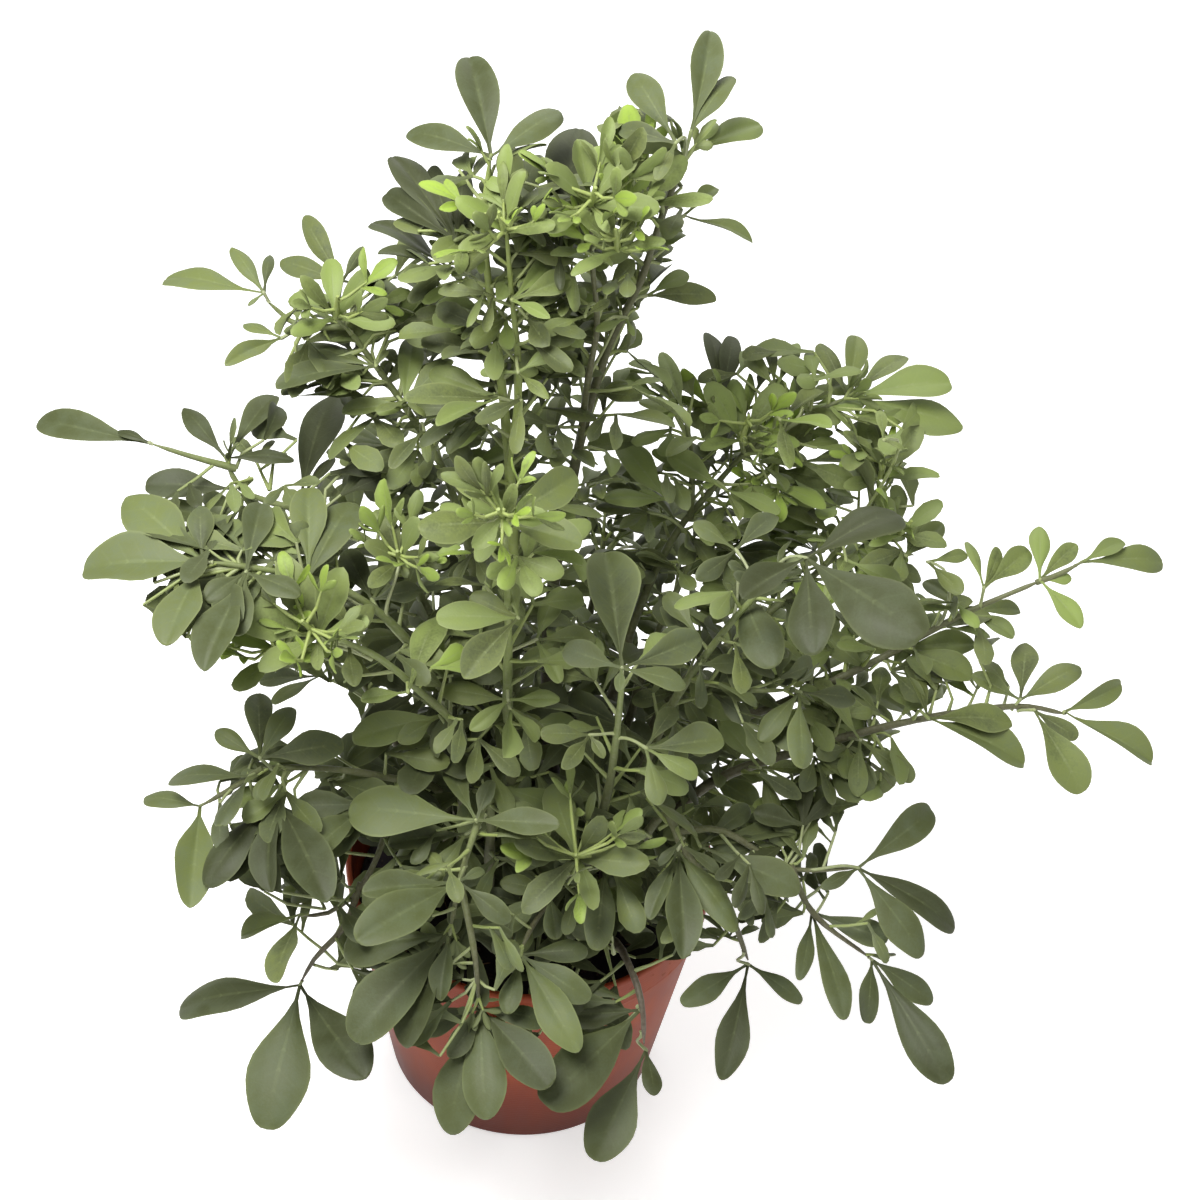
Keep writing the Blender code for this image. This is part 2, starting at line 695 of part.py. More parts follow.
def light_side(place, draw):
    """The way a leaf turns: up at the top, and outward where the bush hangs."""
    low = min(max((HANG_BELOW - place.z) / HANG_BELOW, 0.0), 1.0)
    way = UP + outward_of(place) * (LEAN_OUT + LEAN_OUT_MORE * low)
    for axis in range(3):
        way[axis] += draw.uniform(-LEAF_UNREST, LEAF_UNREST)
    return way.normalized()


def petiole_to(heel, root, start, heading):
    """Places from near a leaf's heel back to the middle of the stem that bears it."""
    span = (heel - start).length
    low = start + heading * span * PETIOLE_PULL
    high = heel + root * span * PETIOLE_PULL
    count = 3 if span > LONG_PETIOLE else 2
    places = []
    for step in range(1, count + 1):
        t = step / count
        places.append(heel * (1 - t) ** 3 + high * (3 * t * (1 - t) ** 2)
                      + low * (3 * t ** 2 * (1 - t)) + start * t ** 3)
    return places


class Grower:
    """Grows one shoot: its stem and twigs first, then its leaves one by one."""

    def __init__(self, name, thicket):
        self.name = name
        self.thicket = thicket
        self.axes = []
        self.solids = []

    def keep(self, kind, solid):
        self.solids.append(solid)
        self.thicket.add(self.name, kind, solid)

    def stem(self, foot, radius, course):
        bottom = Vector((foot[0], foot[1], SOIL_TOP - STEM_DEPTH))
        collar = Vector((foot[0], foot[1], SOIL_TOP + STEM_COLLAR))
        rising = smooth([collar] + course, STEM_SPACING)
        axis = Axis([bottom] + rising, radius, STEM_TIP_RADIUS, STEM_SIDES)
        self.axes.append(axis)
        self.keep("axis", axis.tube)

    def twig(self, course):
        bearer = min(self.axes, key=lambda each: each.nearest(course[0])[0])
        start = bearer.leave(course[0])[0]
        course = [start] + course[1:]
        axis = Axis(smooth(course, TWIG_SPACING), TWIG_RADIUS, TWIG_TIP_RADIUS,
                    TWIG_SIDES)
        self.axes.append(axis)
        self.keep("axis", axis.tube)

    def clear(self, leaf):
        """Whether a leaf keeps off the floor and clear of all but its own stem."""
        if min(place.z for place in leaf[0]) < FLOOR_MARGIN:
            return False
        return not self.thicket.hits(
            leaf, lambda owner, kind: owner == self.name and kind == "axis")

    def clear_of_stem(self, blades):
        """Whether a leaf without its petiole keeps clear of its own stem too."""
        return not self.thicket.hits(
            blades, lambda owner, kind: owner != self.name or kind != "axis")

    def leaf(self, choices):
        """Keeps the first of several ways to place a leaf that is clear, if any is."""
        second_best = None
        for hub, facing, ends, width, calm, seed in choices:
            axis = min(self.axes, key=lambda each: each.nearest(hub)[0])
            if axis.nearest(hub)[0] < SHORTEST_PETIOLE:
                lift = facing * SHORTEST_PETIOLE
                hub = hub + lift
                ends = [end + lift for end in ends]
            start, heading = axis.leave(hub)
            root = root_of(hub, facing, start, ends)
            heel = hub + root * HEEL_RADIUS
            petiole = petiole_to(heel, root, start, heading)
            shape = (hub, facing, root, petiole, ends, width, BLADE_ROLL * calm)
            leaf = fan(*shape, random.Random(seed))
            if crosses_itself(leaf):
                continue
            if not self.clear(fan(*shape, random.Random(seed), CLEARANCE * 2)):
                continue
            stub = heel + (petiole[0] - heel).normalized() * STUB_LENGTH
            shape = (hub, facing, root, [stub], ends, width, BLADE_ROLL * calm)
            blades = fan(*shape, random.Random(seed))
            if self.clear_of_stem(blades):
                self.keep("fan", leaf)
                return
            second_best = second_best or leaf
        if second_best:
            self.keep("fan", second_best)


def spray_choices(item, seed):
    """A seen leaf, moved and flattened little by little along its lines of sight."""
    for scale, shift, calm in product(SCALES, SHIFTS, CALMS):
        draw = random.Random(seed)
        hub = seen(item.across, item.down, item.depth + shift)
        facing = light_side(hub, draw)
        unrest = LEAFLET_UNREST * calm
        ends = []
        for across, down in item.tips:
            lean = Vector([draw.uniform(-unrest, unrest) for axis in range(3)])
            tilted = (facing + lean).normalized()
            ray = sight(across, down)
            place = EYE + ray * ((hub - EYE).dot(tilted) / ray.dot(tilted))
            ends.append(hub + (place - hub) * scale)
        yield hub, facing, ends, BLADE_WIDTH, calm, seed


def young_choices(item, seed):
    """A tuft of narrow young leaves, low and raised by turns, on a shoot's tip."""
    for shift, calm in product(SHIFTS, CALMS):
        draw = random.Random(seed)
        hub = seen(item.across, item.down, item.depth + shift)
        facing = (light_side(hub, draw) + YOUNG_LEAN).normalized()
        spoke = facing.orthogonal().normalized()
        ends = []
        for index in range(YOUNG_LEAVES):
            turn = math.tau * (index + draw.uniform(-0.08, 0.08)) / YOUNG_LEAVES
            rise = YOUNG_RISE + YOUNG_RISE_BY_TURNS * calm * (-1) ** index
            way = Quaternion(facing, turn) @ spoke
            way = way * math.cos(rise) + facing * math.sin(rise)
            ends.append(hub + way * item.size * draw.uniform(0.75, 1.05))
        yield hub, facing, ends, YOUNG_WIDTH, calm, seed


def back_choices(axis, order, seed):
    """A leaf of a shoot behind, turned little by little round its stem."""
    for nudge, calm in product(NUDGES, CALMS):
        draw = random.Random(seed)
        height = order / (BACK_LEAVES - 1)
        share = BACK_LOWEST_LEAF + (1 - BACK_LOWEST_LEAF) * height
        start = axis.points[round(share * (len(axis.points) - 1))]
        turn = order * GOLDEN_ANGLE + nudge + draw.uniform(-0.2, 0.2)
        radial = Vector((math.cos(turn), math.sin(turn), 0.0))
        way = radial + outward_of(start) * BACK_LEAN_OUT + UP * BACK_LEAN_UP
        way.normalize()
        reach = BACK_PETIOLE[0] + (BACK_PETIOLE[1] - BACK_PETIOLE[0]) * share
        hub = start + way * reach * draw.uniform(0.8, 1.15)
        facing = light_side(hub, draw)
        along = (way - facing * way.dot(facing)).normalized()
        length = BACK_LEAFLET[0] + (BACK_LEAFLET[1] - BACK_LEAFLET[0]) * share
        ends = []
        for place in BACK_LEAFLETS:
            bend = place * FAN_STEP * draw.uniform(0.9, 1.1)
            span = length * (1.0 - BACK_OUTER_SHORTER * abs(place))
            span *= draw.uniform(0.85, 1.1)
            ends.append(hub + (Quaternion(facing, bend) @ along) * span)
        yield hub, facing, ends, BLADE_WIDTH, calm, seed


def grow(thicket):
    """Grows every shoot: all stems first, then all leaves."""
    growers = []
    for item in SHOOTS:
        grower = Grower(item.name, thicket)
        course = [seen(*place) for place in item.course]
        grower.stem(item.foot, item.radius, course)
        for twig in item.twigs:
            grower.twig([seen(*place) for place in twig])
        growers.append(grower)
    for index in range(BACK_SHOOTS):
        grower = Grower(f"shoot_back_{index + 1}", thicket)
        turn = BACK_FROM + (BACK_TO - BACK_FROM) * index / (BACK_SHOOTS - 1)
        way = Vector((math.cos(turn), math.sin(turn), 0.0))
        kind = index % 2
        foot = way * BACK_FOOT[kind]
        middle = way * BACK_REACH[kind] * BACK_MIDDLE[0]
        middle += UP * BACK_HEIGHT[kind] * BACK_MIDDLE[1]
        top = way * BACK_REACH[kind] + UP * BACK_HEIGHT[kind]
        grower.stem((foot.x, foot.y), BACK_RADIUS, [middle, top])
        growers.append(grower)
    for number, (grower, item) in enumerate(zip(growers, SHOOTS)):
        seed = number * SEEDS_A_SHOOT
        for order, each in enumerate(item.young):
            grower.leaf(young_choices(each, YOUNG_SEED + seed + order))
        for order, each in enumerate(item.sprays):
            grower.leaf(spray_choices(each, seed + order))
    for number, grower in enumerate(growers[len(SHOOTS):]):
        seed = BACK_SEED + number * SEEDS_A_SHOOT
        for order in range(BACK_LEAVES):
            grower.leaf(back_choices(grower.axes[0], order, seed + order))
    return growers


def add_object(name, solid, material):
    vertices, faces = solid
    mesh = bpy.data.meshes.new(name)
    mesh.from_pydata([tuple(place) for place in vertices], [], faces)
    mesh.materials.append(material)
    item = bpy.data.objects.new(name, mesh)
    bpy.context.scene.collection.objects.link(item)
    return item


def finish(name, colour, roughness):
    """A plain coloured surface."""
    material = bpy.data.materials.new(name)
    material.use_nodes = True
    shader = material.node_tree.nodes["Principled BSDF"]
    shader.inputs["Base Color"].default_value = (*colour, 1.0)
    shader.inputs["Roughness"].default_value = roughness
    shader.inputs["Metallic"].default_value = 0.0
    return material


def applied(item):
    """Replaces an object's mesh by what its modifiers make of it."""
    graph = bpy.context.evaluated_depsgraph_get()
    mesh = bpy.data.meshes.new_from_object(item.evaluated_get(graph))
    item.modifiers.clear()
    item.data = mesh


def fused(name, solids, material):
    """One body out of a shoot's stem, twigs, stalks and leaves."""
    stem = add_object(name, solids[0], material)
    repeats = bpy.data.collections.new(name + "_repeats")
    bpy.context.scene.collection.children.link(repeats)
    for solid in solids[1:]:
        item = add_object(name + "_piece", solid, material)
        bpy.context.scene.collection.objects.unlink(item)
        repeats.objects.link(item)
    union = stem.modifiers.new("join", "BOOLEAN")
    union.operation = "UNION"
    union.operand_type = "COLLECTION"
    union.collection = repeats
    union.solver = SOLVER
    applied(stem)
    for item in list(repeats.objects):
        bpy.data.objects.remove(item)
    bpy.data.collections.remove(repeats)
    keep_largest(stem.data)
    return stem


def keep_largest(mesh):
    """Drops loose scraps and leaves whole triangles only."""
    shape = bmesh.new()
    shape.from_mesh(mesh)
    bmesh.ops.dissolve_limit(
        shape, angle_limit=SAME_PLANE, verts=shape.verts, edges=shape.edges)
    bmesh.ops.triangulate(shape, faces=shape.faces)
    bmesh.ops.remove_doubles(shape, verts=shape.verts, dist=SAME_PLACE)
    islands = []
    left = set(shape.verts)
    while left:
        seed = left.pop()
        island = {seed}
        edge_of = [seed]
        while edge_of:
            vertex = edge_of.pop()
            for edge in vertex.link_edges:
                other = edge.other_vert(vertex)
                if other not in island:
                    island.add(other)
                    edge_of.append(other)
        left -= island
        islands.append(island)
    islands.sort(key=len)
    scraps = [vertex for island in islands[:-1] for vertex in island]
    bmesh.ops.delete(shape, geom=scraps, context="VERTS")
    shape.to_mesh(mesh)
    shape.free()


def lathe(profile, sides):
    """The solid that a profile from axis to axis turns out, bottom first."""
    vertices = []
    rings = []
    for radius, height in profile:
        if radius == 0.0:
            rings.append([len(vertices)] * sides)
            vertices.append(Vector((0.0, 0.0, height)))
            continue
        rings.append(range(len(vertices), len(vertices) + sides))
        for side in range(sides):
            angle = math.tau * side / sides
            spoke = Vector((math.cos(angle), math.sin(angle), 0.0)) * radius
            vertices.append(spoke + UP * height)
    faces = []
    for lower, upper in zip(rings, rings[1:]):
        for side in range(sides):
            after = (side + 1) % sides
            corners = [lower[side], lower[after], upper[after], upper[side]]
            corners = list(dict.fromkeys(corners))
            faces.append(tuple(corners))
    return vertices, faces


def wall_radius(height):
    """The pot's outer wall, which widens evenly up to its lip."""
    base = BASE_DIAMETER / 2
    top = RIM_DIAMETER / 2 - LIP_PROUD
    return base + (top - base) * height / (POT_HEIGHT - LIP_HEIGHT)


def pot_profile():
    rim = RIM_DIAMETER / 2
    lip_foot = POT_HEIGHT - LIP_HEIGHT
    inside = wall_radius(lip_foot) - POT_WALL
    return [
        (0.0, 0.0),
        (wall_radius(0.0) - EDGE_ROUND, 0.0),
        (wall_radius(EDGE_ROUND), EDGE_ROUND),
        (wall_radius(lip_foot - LIP_STEP), lip_foot - LIP_STEP),
        (rim - LIP_STEP / 2, lip_foot),
        (rim - LIP_STEP / 2, lip_foot + LIP_STEP / 2),
        (rim, POT_HEIGHT - EDGE_ROUND),
        (rim - EDGE_ROUND / 2, POT_HEIGHT),
        (rim - LIP_WALL, POT_HEIGHT),
        (rim - LIP_WALL - EDGE_ROUND / 3, POT_HEIGHT - EDGE_ROUND),
        (inside + LIP_STEP / 2, lip_foot + LIP_STEP),
        (inside, lip_foot - LIP_STEP),
        (wall_radius(FLOOR_THICKNESS) - POT_WALL, FLOOR_THICKNESS),
        (0.0, FLOOR_THICKNESS),
    ]


def cut(item, cutters):
    """Takes cutters out of an object, and removes them."""
    tools = bpy.data.collections.new(item.name + "_cutters")
    bpy.context.scene.collection.children.link(tools)
    for cutter in cutters:
        bpy.context.scene.collection.objects.unlink(cutter)
        tools.objects.link(cutter)
    less = item.modifiers.new("holes", "BOOLEAN")
    less.operation = "DIFFERENCE"
    less.operand_type = "COLLECTION"
    less.collection = tools
    less.solver = "EXACT"
    applied(item)
    for cutter in cutters:
        bpy.data.objects.remove(cutter)
    bpy.data.collections.remove(tools)


def peg(name, place, radius, height, sides):
    """An upright round cutter that stands on a place."""
    profile = [(0.0, 0.0), (radius, 0.0), (radius, height), (0.0, height)]
    vertices, faces = lathe(profile, sides)
    return add_object(name, ([place + each for each in vertices], faces), None)


def build_pot():
    plastic = finish("terracotta_plastic", TERRACOTTA, 0.42)
    pot = add_object("pot", lathe(pot_profile(), POT_SIDES), plastic)
    cutters = []
    for index in range(DRAIN_HOLES):
        angle = math.tau * (index + DRAIN_TURN) / DRAIN_HOLES
        spoke = Vector((math.cos(angle), math.sin(angle), 0.0)) * DRAIN_RING
        place = spoke - UP * FLOOR_THICKNESS
        height = FLOOR_THICKNESS * 3
        cutters.append(peg("drain", place, DRAIN_HOLE / 2, height, DRAIN_SIDES))
    cut(pot, cutters)
    pot.data.shade_smooth()
    pot.data.set_sharp_from_angle(angle=SHARP_EDGE)
    return pot


def build_soil(growers):
    peat = finish("potting_soil", PEAT, 0.95)
    low = FLOOR_THICKNESS + FIT_GAP
    shoulder = POT_HEIGHT - LIP_HEIGHT - LIP_STEP
    edge = SOIL_TOP - SOIL_DOME
    inside = wall_radius(shoulder) - POT_WALL - SOIL_GAP
    profile = [
        (0.0, low),
        (wall_radius(low) - POT_WALL - SOIL_GAP, low),
        (inside, shoulder),
        (inside, edge),
        (inside - SOIL_SLOPE, edge + SOIL_DOME * 0.6),
        (inside - SOIL_SLOPE * 1.7, SOIL_TOP),
        (0.0, SOIL_TOP),
    ]
    soil = add_object("soil", lathe(profile, SOIL_SIDES), peat)
    cutters = []
    for grower in growers:
        foot = grower.axes[0].points[0]
        radius = grower.axes[0].radii[0] + HOLE_ROOM
        place = foot - UP * FIT_GAP
        cutters.append(peg("hole", place, radius, STEM_DEPTH * 2, HOLE_SIDES))
    cut(soil, cutters)
    return soil


def main():
    for item in list(bpy.data.objects):
        bpy.data.objects.remove(item)
    thicket = Thicket()
    pot = build_pot()
    vertices = [vertex.co.copy() for vertex in pot.data.vertices]
    faces = [tuple(face.vertices) for face in pot.data.polygons]
    thicket.add("pot", "pot", (vertices, faces))
    growers = grow(thicket)
    build_soil(growers)
    green = finish("rue_leaf", LEAF_GREEN, 0.6)
    for grower in growers:
        fused(grower.name, grower.solids, green)


main()
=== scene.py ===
"""A rue plant in a round plastic nursery pot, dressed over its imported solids.

Metres, +Z up, the origin at the middle of the pot's underside, the front at -Y.
"""

import math
import random

import bmesh
import bpy
from mathutils import Matrix, Quaternion, Vector, noise
from mathutils.bvhtree import BVHTree


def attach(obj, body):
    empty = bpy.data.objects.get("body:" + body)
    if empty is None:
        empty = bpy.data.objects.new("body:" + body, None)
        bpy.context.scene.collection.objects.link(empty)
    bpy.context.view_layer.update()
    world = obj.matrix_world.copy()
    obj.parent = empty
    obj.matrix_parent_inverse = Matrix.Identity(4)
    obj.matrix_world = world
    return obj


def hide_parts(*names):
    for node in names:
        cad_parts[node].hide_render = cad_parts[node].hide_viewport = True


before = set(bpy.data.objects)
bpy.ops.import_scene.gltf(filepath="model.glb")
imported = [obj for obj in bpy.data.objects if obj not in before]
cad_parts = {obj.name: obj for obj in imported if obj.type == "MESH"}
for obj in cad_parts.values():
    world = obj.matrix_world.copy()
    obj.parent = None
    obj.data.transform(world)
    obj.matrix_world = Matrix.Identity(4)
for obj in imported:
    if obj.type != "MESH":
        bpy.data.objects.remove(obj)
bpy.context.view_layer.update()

# The pot: one thin moulding of terracotta-coloured plastic, made on a tapered core.
# Its wall widens to a raised band, its lip turns in, and its floor has drain holes.
# It is faintly glossy, a little dusty, and splashed with soil where it was watered.
RIM_RADIUS = 0.060
BASE_RADIUS = 0.045
POT_HEIGHT = 0.088
POT_WALL = 0.0014
LIP_FOOT = POT_HEIGHT - 0.0125
LIP_PROUD = 0.0022
LIP_WALL = 0.0018
LIP_STEP = 0.002
EDGE_ROUND = 0.0012
FLOOR_THICKNESS = 0.002
POT_SIDES = 112
ROUNDING = 0.0007
ROUNDING_STEPS = 3
DRAIN_HOLES = 6
DRAIN_RADIUS = 0.0045
DRAIN_RING = 0.027
DRAIN_TURN = 0.35
DRAIN_SIDES = 20
DRAIN_PEG = -0.004, 0.006
MOULD_RINGS = 5200.0
TERRACOTTA = 118, 46, 20
TERRACOTTA_FADED = 132, 58, 28
# The darkest terracotta is painted shade, for the bottom of the pot.
TERRACOTTA_SHADE = 70, 23, 12
DRIED_SOIL = 80, 57, 40
UP = Vector((0.0, 0.0, 1.0))


def wall_radius(height):
    """The pot's outer wall, which widens evenly up to its lip."""
    return BASE_RADIUS + (RIM_RADIUS - LIP_PROUD - BASE_RADIUS) * height / LIP_FOOT


def rounded(section):
    """A section with its corners rounded off."""
    places = [Vector(place) for place in section]
    smoothed = [places[0]]
    for before, corner, after in zip(places, places[1:], places[2:]):
        back = before - corner
        onward = after - corner
        reach = min(ROUNDING, back.length * 0.4, onward.length * 0.4)
        start = corner + back.normalized() * reach
        end = corner + onward.normalized() * reach
        for step in range(ROUNDING_STEPS + 1):
            t = step / ROUNDING_STEPS
            smoothed.append(start.lerp(corner, t).lerp(corner.lerp(end, t), t))
    return smoothed + [places[-1]]


def spoke(turn):
    """The level way out from the middle at a turn."""
    return Vector((math.cos(turn), math.sin(turn), 0.0))


def lathe(section, sides):
    """The solid that a section from axis to axis turns out, bottom first."""
    vertices = []
    rings = []
    for radius, height in section:
        first = len(vertices)
        points = sides if radius else 1
        rings.append([first + side % points for side in range(sides)])
        vertices += [spoke(math.tau * side / sides) * radius + UP * height
                     for side in range(points)]
    faces = []
    for lower, upper in zip(rings, rings[1:]):
        for side in range(sides):
            after = (side + 1) % sides
            corners = [lower[side], lower[after], upper[after], upper[side]]
            faces.append(tuple(dict.fromkeys(corners)))
    return vertices, faces


def add_piece(name, vertices, faces, *finishes):
    """A new object in the scene from a list of places and faces."""
    mesh = bpy.data.meshes.new(name)
    mesh.from_pydata([tuple(place) for place in vertices], [], faces)
    for finish in finishes:
        mesh.materials.append(finish.material)
    mesh.shade_smooth()
    piece = bpy.data.objects.new(name, mesh)
    bpy.context.scene.collection.objects.link(piece)
    return piece


def stands_for(piece, node):
    """Lets a piece take the place of the solid that it was made over."""
    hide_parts(node)
    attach(piece, "root")


def light_of(colour):
    """The light that a colour sends back, from its parts as the eye sees them."""
    return tuple(
        c / 12.92 if c <= 0.04045 else ((c + 0.055) / 1.055) ** 2.4
        for c in (part / 255 for part in colour))


class Shade:
    """One value in a material: arithmetic on it adds the nodes that work it out."""

    def __init__(self, tree, socket=None):
        self.tree = tree
        self.socket = socket

    def node(self, kind, settings, sockets, output=0):
        """Any node: its settings first, then the values or links of its sockets."""
        made = self.tree.nodes.new(kind)
        stops = settings.pop("stops", ())
        for index, (place, colour) in enumerate(stops):
            elements = made.color_ramp.elements
            stop = elements[index] if index < 2 else elements.new(place)
            stop.position = place
            stop.color = (*light_of(colour), 1.0)
        for name, value in settings.items():
            setattr(made, name, value)
        for key, value in sockets.items():
            if isinstance(value, Shade):
                self.tree.links.new(value.socket, made.inputs[key])
            elif isinstance(value, tuple):
                made.inputs[key].default_value = (*light_of(value), 1.0)
            else:
                made.inputs[key].default_value = value
        return Shade(self.tree, made.outputs[output])

    def maths(self, operation, *others):
        """What an operation makes of this value and others."""
        return self.node("ShaderNodeMath", {"operation": operation},
                         dict(enumerate((self, *others))))

    def __add__(self, other):
        return self.maths("ADD", other)

    def __sub__(self, other):
        return self.maths("SUBTRACT", other)

    def __rsub__(self, other):
        return self.maths("MULTIPLY_ADD", -1.0, other)

    def __mul__(self, other):
        return self.maths("MULTIPLY", other)

    def __abs__(self):
        return self.maths("ABSOLUTE")

    __radd__ = __add__
    __rmul__ = __mul__

    def rise(self, low, high):
        """Runs smoothly from 0 below low to 1 above high."""
        return self.node(
            "ShaderNodeMapRange", {"interpolation_type": "SMOOTHSTEP"},
            {"Value": self, "From Min": low, "From Max": high})

    def blend(self, under, over):
        """Colour under where this value is 0, and over where it is 1."""
        return self.node(
            "ShaderNodeMix", {"data_type": "RGBA"}, {0: self, 6: under, 7: over}, 2)

    def ramp(self, *stops):
        """The colours that this value runs through, each with its place."""
        return self.node("ShaderNodeValToRGB", {"stops": stops}, {0: self})

    def parts(self):
        """A vector's three numbers."""
        split = self.node("ShaderNodeSeparateXYZ", {}, {0: self})
        return [Shade(self.tree, part) for part in split.socket.node.outputs]

    def cloud(self, scale, detail, roughness=0.5):
        """Soft noise over a place, from 0 to 1, with this many lumps to a metre."""
        return self.node(
            "ShaderNodeTexNoise", {}, {"Vector": self, "Scale": scale,
                                       "Detail": detail, "Roughness": roughness})


class Finish:
    """A material: its shader with plain values set, and what varies fed to it."""

    def __init__(self, name, **plain):
        self.material = bpy.data.materials.new(name)
        self.material.use_nodes = True
        tree = self.material.node_tree
        self.shader = tree.nodes["Principled BSDF"]
        for key, value in plain.items():
            self.shader.inputs[key.replace("_", " ")].default_value = value
        self.start = Shade(tree)
        self.place = self.start.node("ShaderNodeTexCoord", {}, {}, 3)

    def feed(self, **varied):
        """Links what varies over the surface to the shader's sockets."""
        for key, shade in varied.items():
            self.start.tree.links.new(
                shade.socket, self.shader.inputs[key.replace("_", " ")])

    def relief(self, height, strength, depth):
        """Raises the surface by a height from 0 to 1, of this depth in metres."""
        self.feed(Normal=self.start.node(
            "ShaderNodeBump", {},
            {"Strength": strength, "Distance": depth, "Height": height}))

    def drawn(self, name):
        """The three numbers that the mesh carries at each of its points."""
        return self.start.node(
            "ShaderNodeAttribute", {"attribute_name": name}, {}, 1).parts()


plastic = Finish("moulded_terracotta_plastic", IOR=1.36, Specular_IOR_Level=0.3)
across, along, height = plastic.place.parts()
mottle = plastic.place.cloud(38.0, 4.0)
drawn_out = plastic.start.node(
    "ShaderNodeCombineXYZ", {}, {0: across, 1: along, 2: height * 0.12})
streaks = drawn_out.cloud(150.0, 3.0)
worn = (mottle * 0.7 + streaks * 0.3).rise(0.42, 0.66)
# Painted shade: the lowest part of the pot is blended toward the darkest terracotta, as
# if the bush above shades it.
low = 1.0 - height.rise(0.0, 0.045)
inner = 1.0 - (across * across + along * along).rise(0.0555 ** 2, 0.0568 ** 2)
sunk = inner * height.rise(0.060, 0.0745)
splash = plastic.place.cloud(420.0, 3.0).rise(0.60, 0.70) * height.rise(0.064, 0.088)
grime = (splash * 0.55 + sunk * 0.35).rise(0.0, 1.0)
base = (low * 0.7).blend(worn.blend(TERRACOTTA, TERRACOTTA_FADED), TERRACOTTA_SHADE)
plastic.feed(
    Base_Color=grime.blend(base, DRIED_SOIL),
    Roughness=0.42 + 0.16 * streaks + 0.10 * mottle + 0.25 * splash)
rings = (height * MOULD_RINGS).maths("SINE")
orange_peel = plastic.place.cloud(900.0, 2.0)
plastic.relief(rings * 0.12 + orange_peel * 0.5 + splash * 0.6, 0.25, 0.0002)

band = RIM_RADIUS - LIP_STEP / 2
inside = wall_radius(LIP_FOOT) - POT_WALL
pot = add_piece("pot_moulding", *lathe(rounded([
    (0.0, 0.0),
    (BASE_RADIUS - EDGE_ROUND, 0.0),
    (wall_radius(EDGE_ROUND), EDGE_ROUND),
    (wall_radius(LIP_FOOT - LIP_STEP), LIP_FOOT - LIP_STEP),
    (band, LIP_FOOT),
    (band, LIP_FOOT + LIP_STEP / 2),
    (RIM_RADIUS, POT_HEIGHT - EDGE_ROUND),
    (RIM_RADIUS - EDGE_ROUND / 2, POT_HEIGHT),
    (RIM_RADIUS - LIP_WALL, POT_HEIGHT),
    (RIM_RADIUS - LIP_WALL - EDGE_ROUND / 3, POT_HEIGHT - EDGE_ROUND),
    (inside + LIP_STEP / 2, LIP_FOOT + LIP_STEP),
    (inside, LIP_FOOT - LIP_STEP),
    (wall_radius(FLOOR_THICKNESS) - POT_WALL, FLOOR_THICKNESS),
    (0.0, FLOOR_THICKNESS)]), POT_SIDES), plastic)
drains = []
for index in range(DRAIN_HOLES):
    middle = spoke(math.tau * (index + DRAIN_TURN) / DRAIN_HOLES) * DRAIN_RING
    bottom, top = DRAIN_PEG
    vertices, faces = lathe(
        [(0.0, bottom), (DRAIN_RADIUS, bottom), (DRAIN_RADIUS, top), (0.0, top)],
        DRAIN_SIDES)
    drains.append(add_piece("drain", [middle + place for place in vertices], faces))
    less = pot.modifiers.new("drain", "BOOLEAN")
    less.operation = "DIFFERENCE"
    less.object = drains[-1]
    less.solver = "EXACT"
moulded = bpy.data.meshes.new_from_object(
    pot.evaluated_get(bpy.context.evaluated_depsgraph_get()))
pot.modifiers.clear()
pot.data = moulded
for drain in drains:
    bpy.data.objects.remove(drain)
pot.data.set_sharp_from_angle(angle=math.radians(50.0))
stands_for(pot, "pot")

# The compost: dark moist peat pressed into the pot, with crumbs and fibres on top.
# It is filled to a finger's breadth under the rim, highest where the stems stand.
# It is nearly black where it is wet, browner on the crumbs that have dried.
SOIL_TOP = POT_HEIGHT - 0.011
SOIL_DOME = 0.003
SOIL_EDGE = SOIL_TOP - SOIL_DOME
SOIL_SLOPE = 0.017
SOIL_GAP = 0.00045
SOIL_BOTTOM = FLOOR_THICKNESS + 0.0003
SOIL_SHOULDER = LIP_FOOT - LIP_STEP
SOIL_REACH = wall_radius(SOIL_SHOULDER) - POT_WALL - SOIL_GAP
SOIL_RINGS = 34
SOIL_SIDES = 112
SOIL_ROUGH = 0.0011
LUMPS = 190.0
GRAINS = 620.0
CRUMBS = 460
FIBRES = 34
CRUMB_SPREAD = 0.94
CRUMB_SIZE = 0.0005
CRUMB_LARGER = 0.0013
CRUMB_FORM = Vector((1.0, 0.9, 0.7))
CRUMB_BROKEN = 0.72, 1.18
FIBRE_LONG = 0.0016, 0.0042
FIBRE_THICK = 0.0004, 0.0003
FIBRE_LIFT = 0.0005
FIBRE_PALE = 0.3, 0.9
CRUMB_SEED = 4107
PEAT_WET = 27, 21, 24
PEAT_DRY = 66, 50, 45
FIBRE_BROWN = 112, 84, 62


def clamp(value, least, most):
    """The value, kept from going under the least or over the most."""
    return min(max(value, least), most)


def soil_height(place):
    """How high the compost lies under or over a place."""
    rise = clamp((SOIL_REACH - place.xy.length) / SOIL_SLOPE, 0.0, 1.0)
    lumps = noise.noise(Vector((place.x, place.y, 0.0)) * LUMPS)
    grains = noise.noise(Vector((place.x, place.y, 0.4)) * GRAINS)
    return (SOIL_EDGE + SOIL_DOME * rise * (2.0 - rise)
            + SOIL_ROUGH * (lumps + 0.45 * grains) * min(rise * 3.0, 1.0))


def crumb(place, size, draw):
    """A small broken lump, squashed and turned at random."""
    lump = bmesh.new()
    bmesh.ops.create_icosphere(lump, subdivisions=1, radius=1.0)
    turn = Quaternion([draw.random() for axis in range(3)], draw.uniform(0.0, 6.0))
    vertices = [place + turn @ (vertex.co * draw.uniform(*CRUMB_BROKEN) * size)
                for vertex in lump.verts]
    faces = [tuple(vertex.index for vertex in face.verts) for face in lump.faces]
    lump.free()
    return vertices, faces


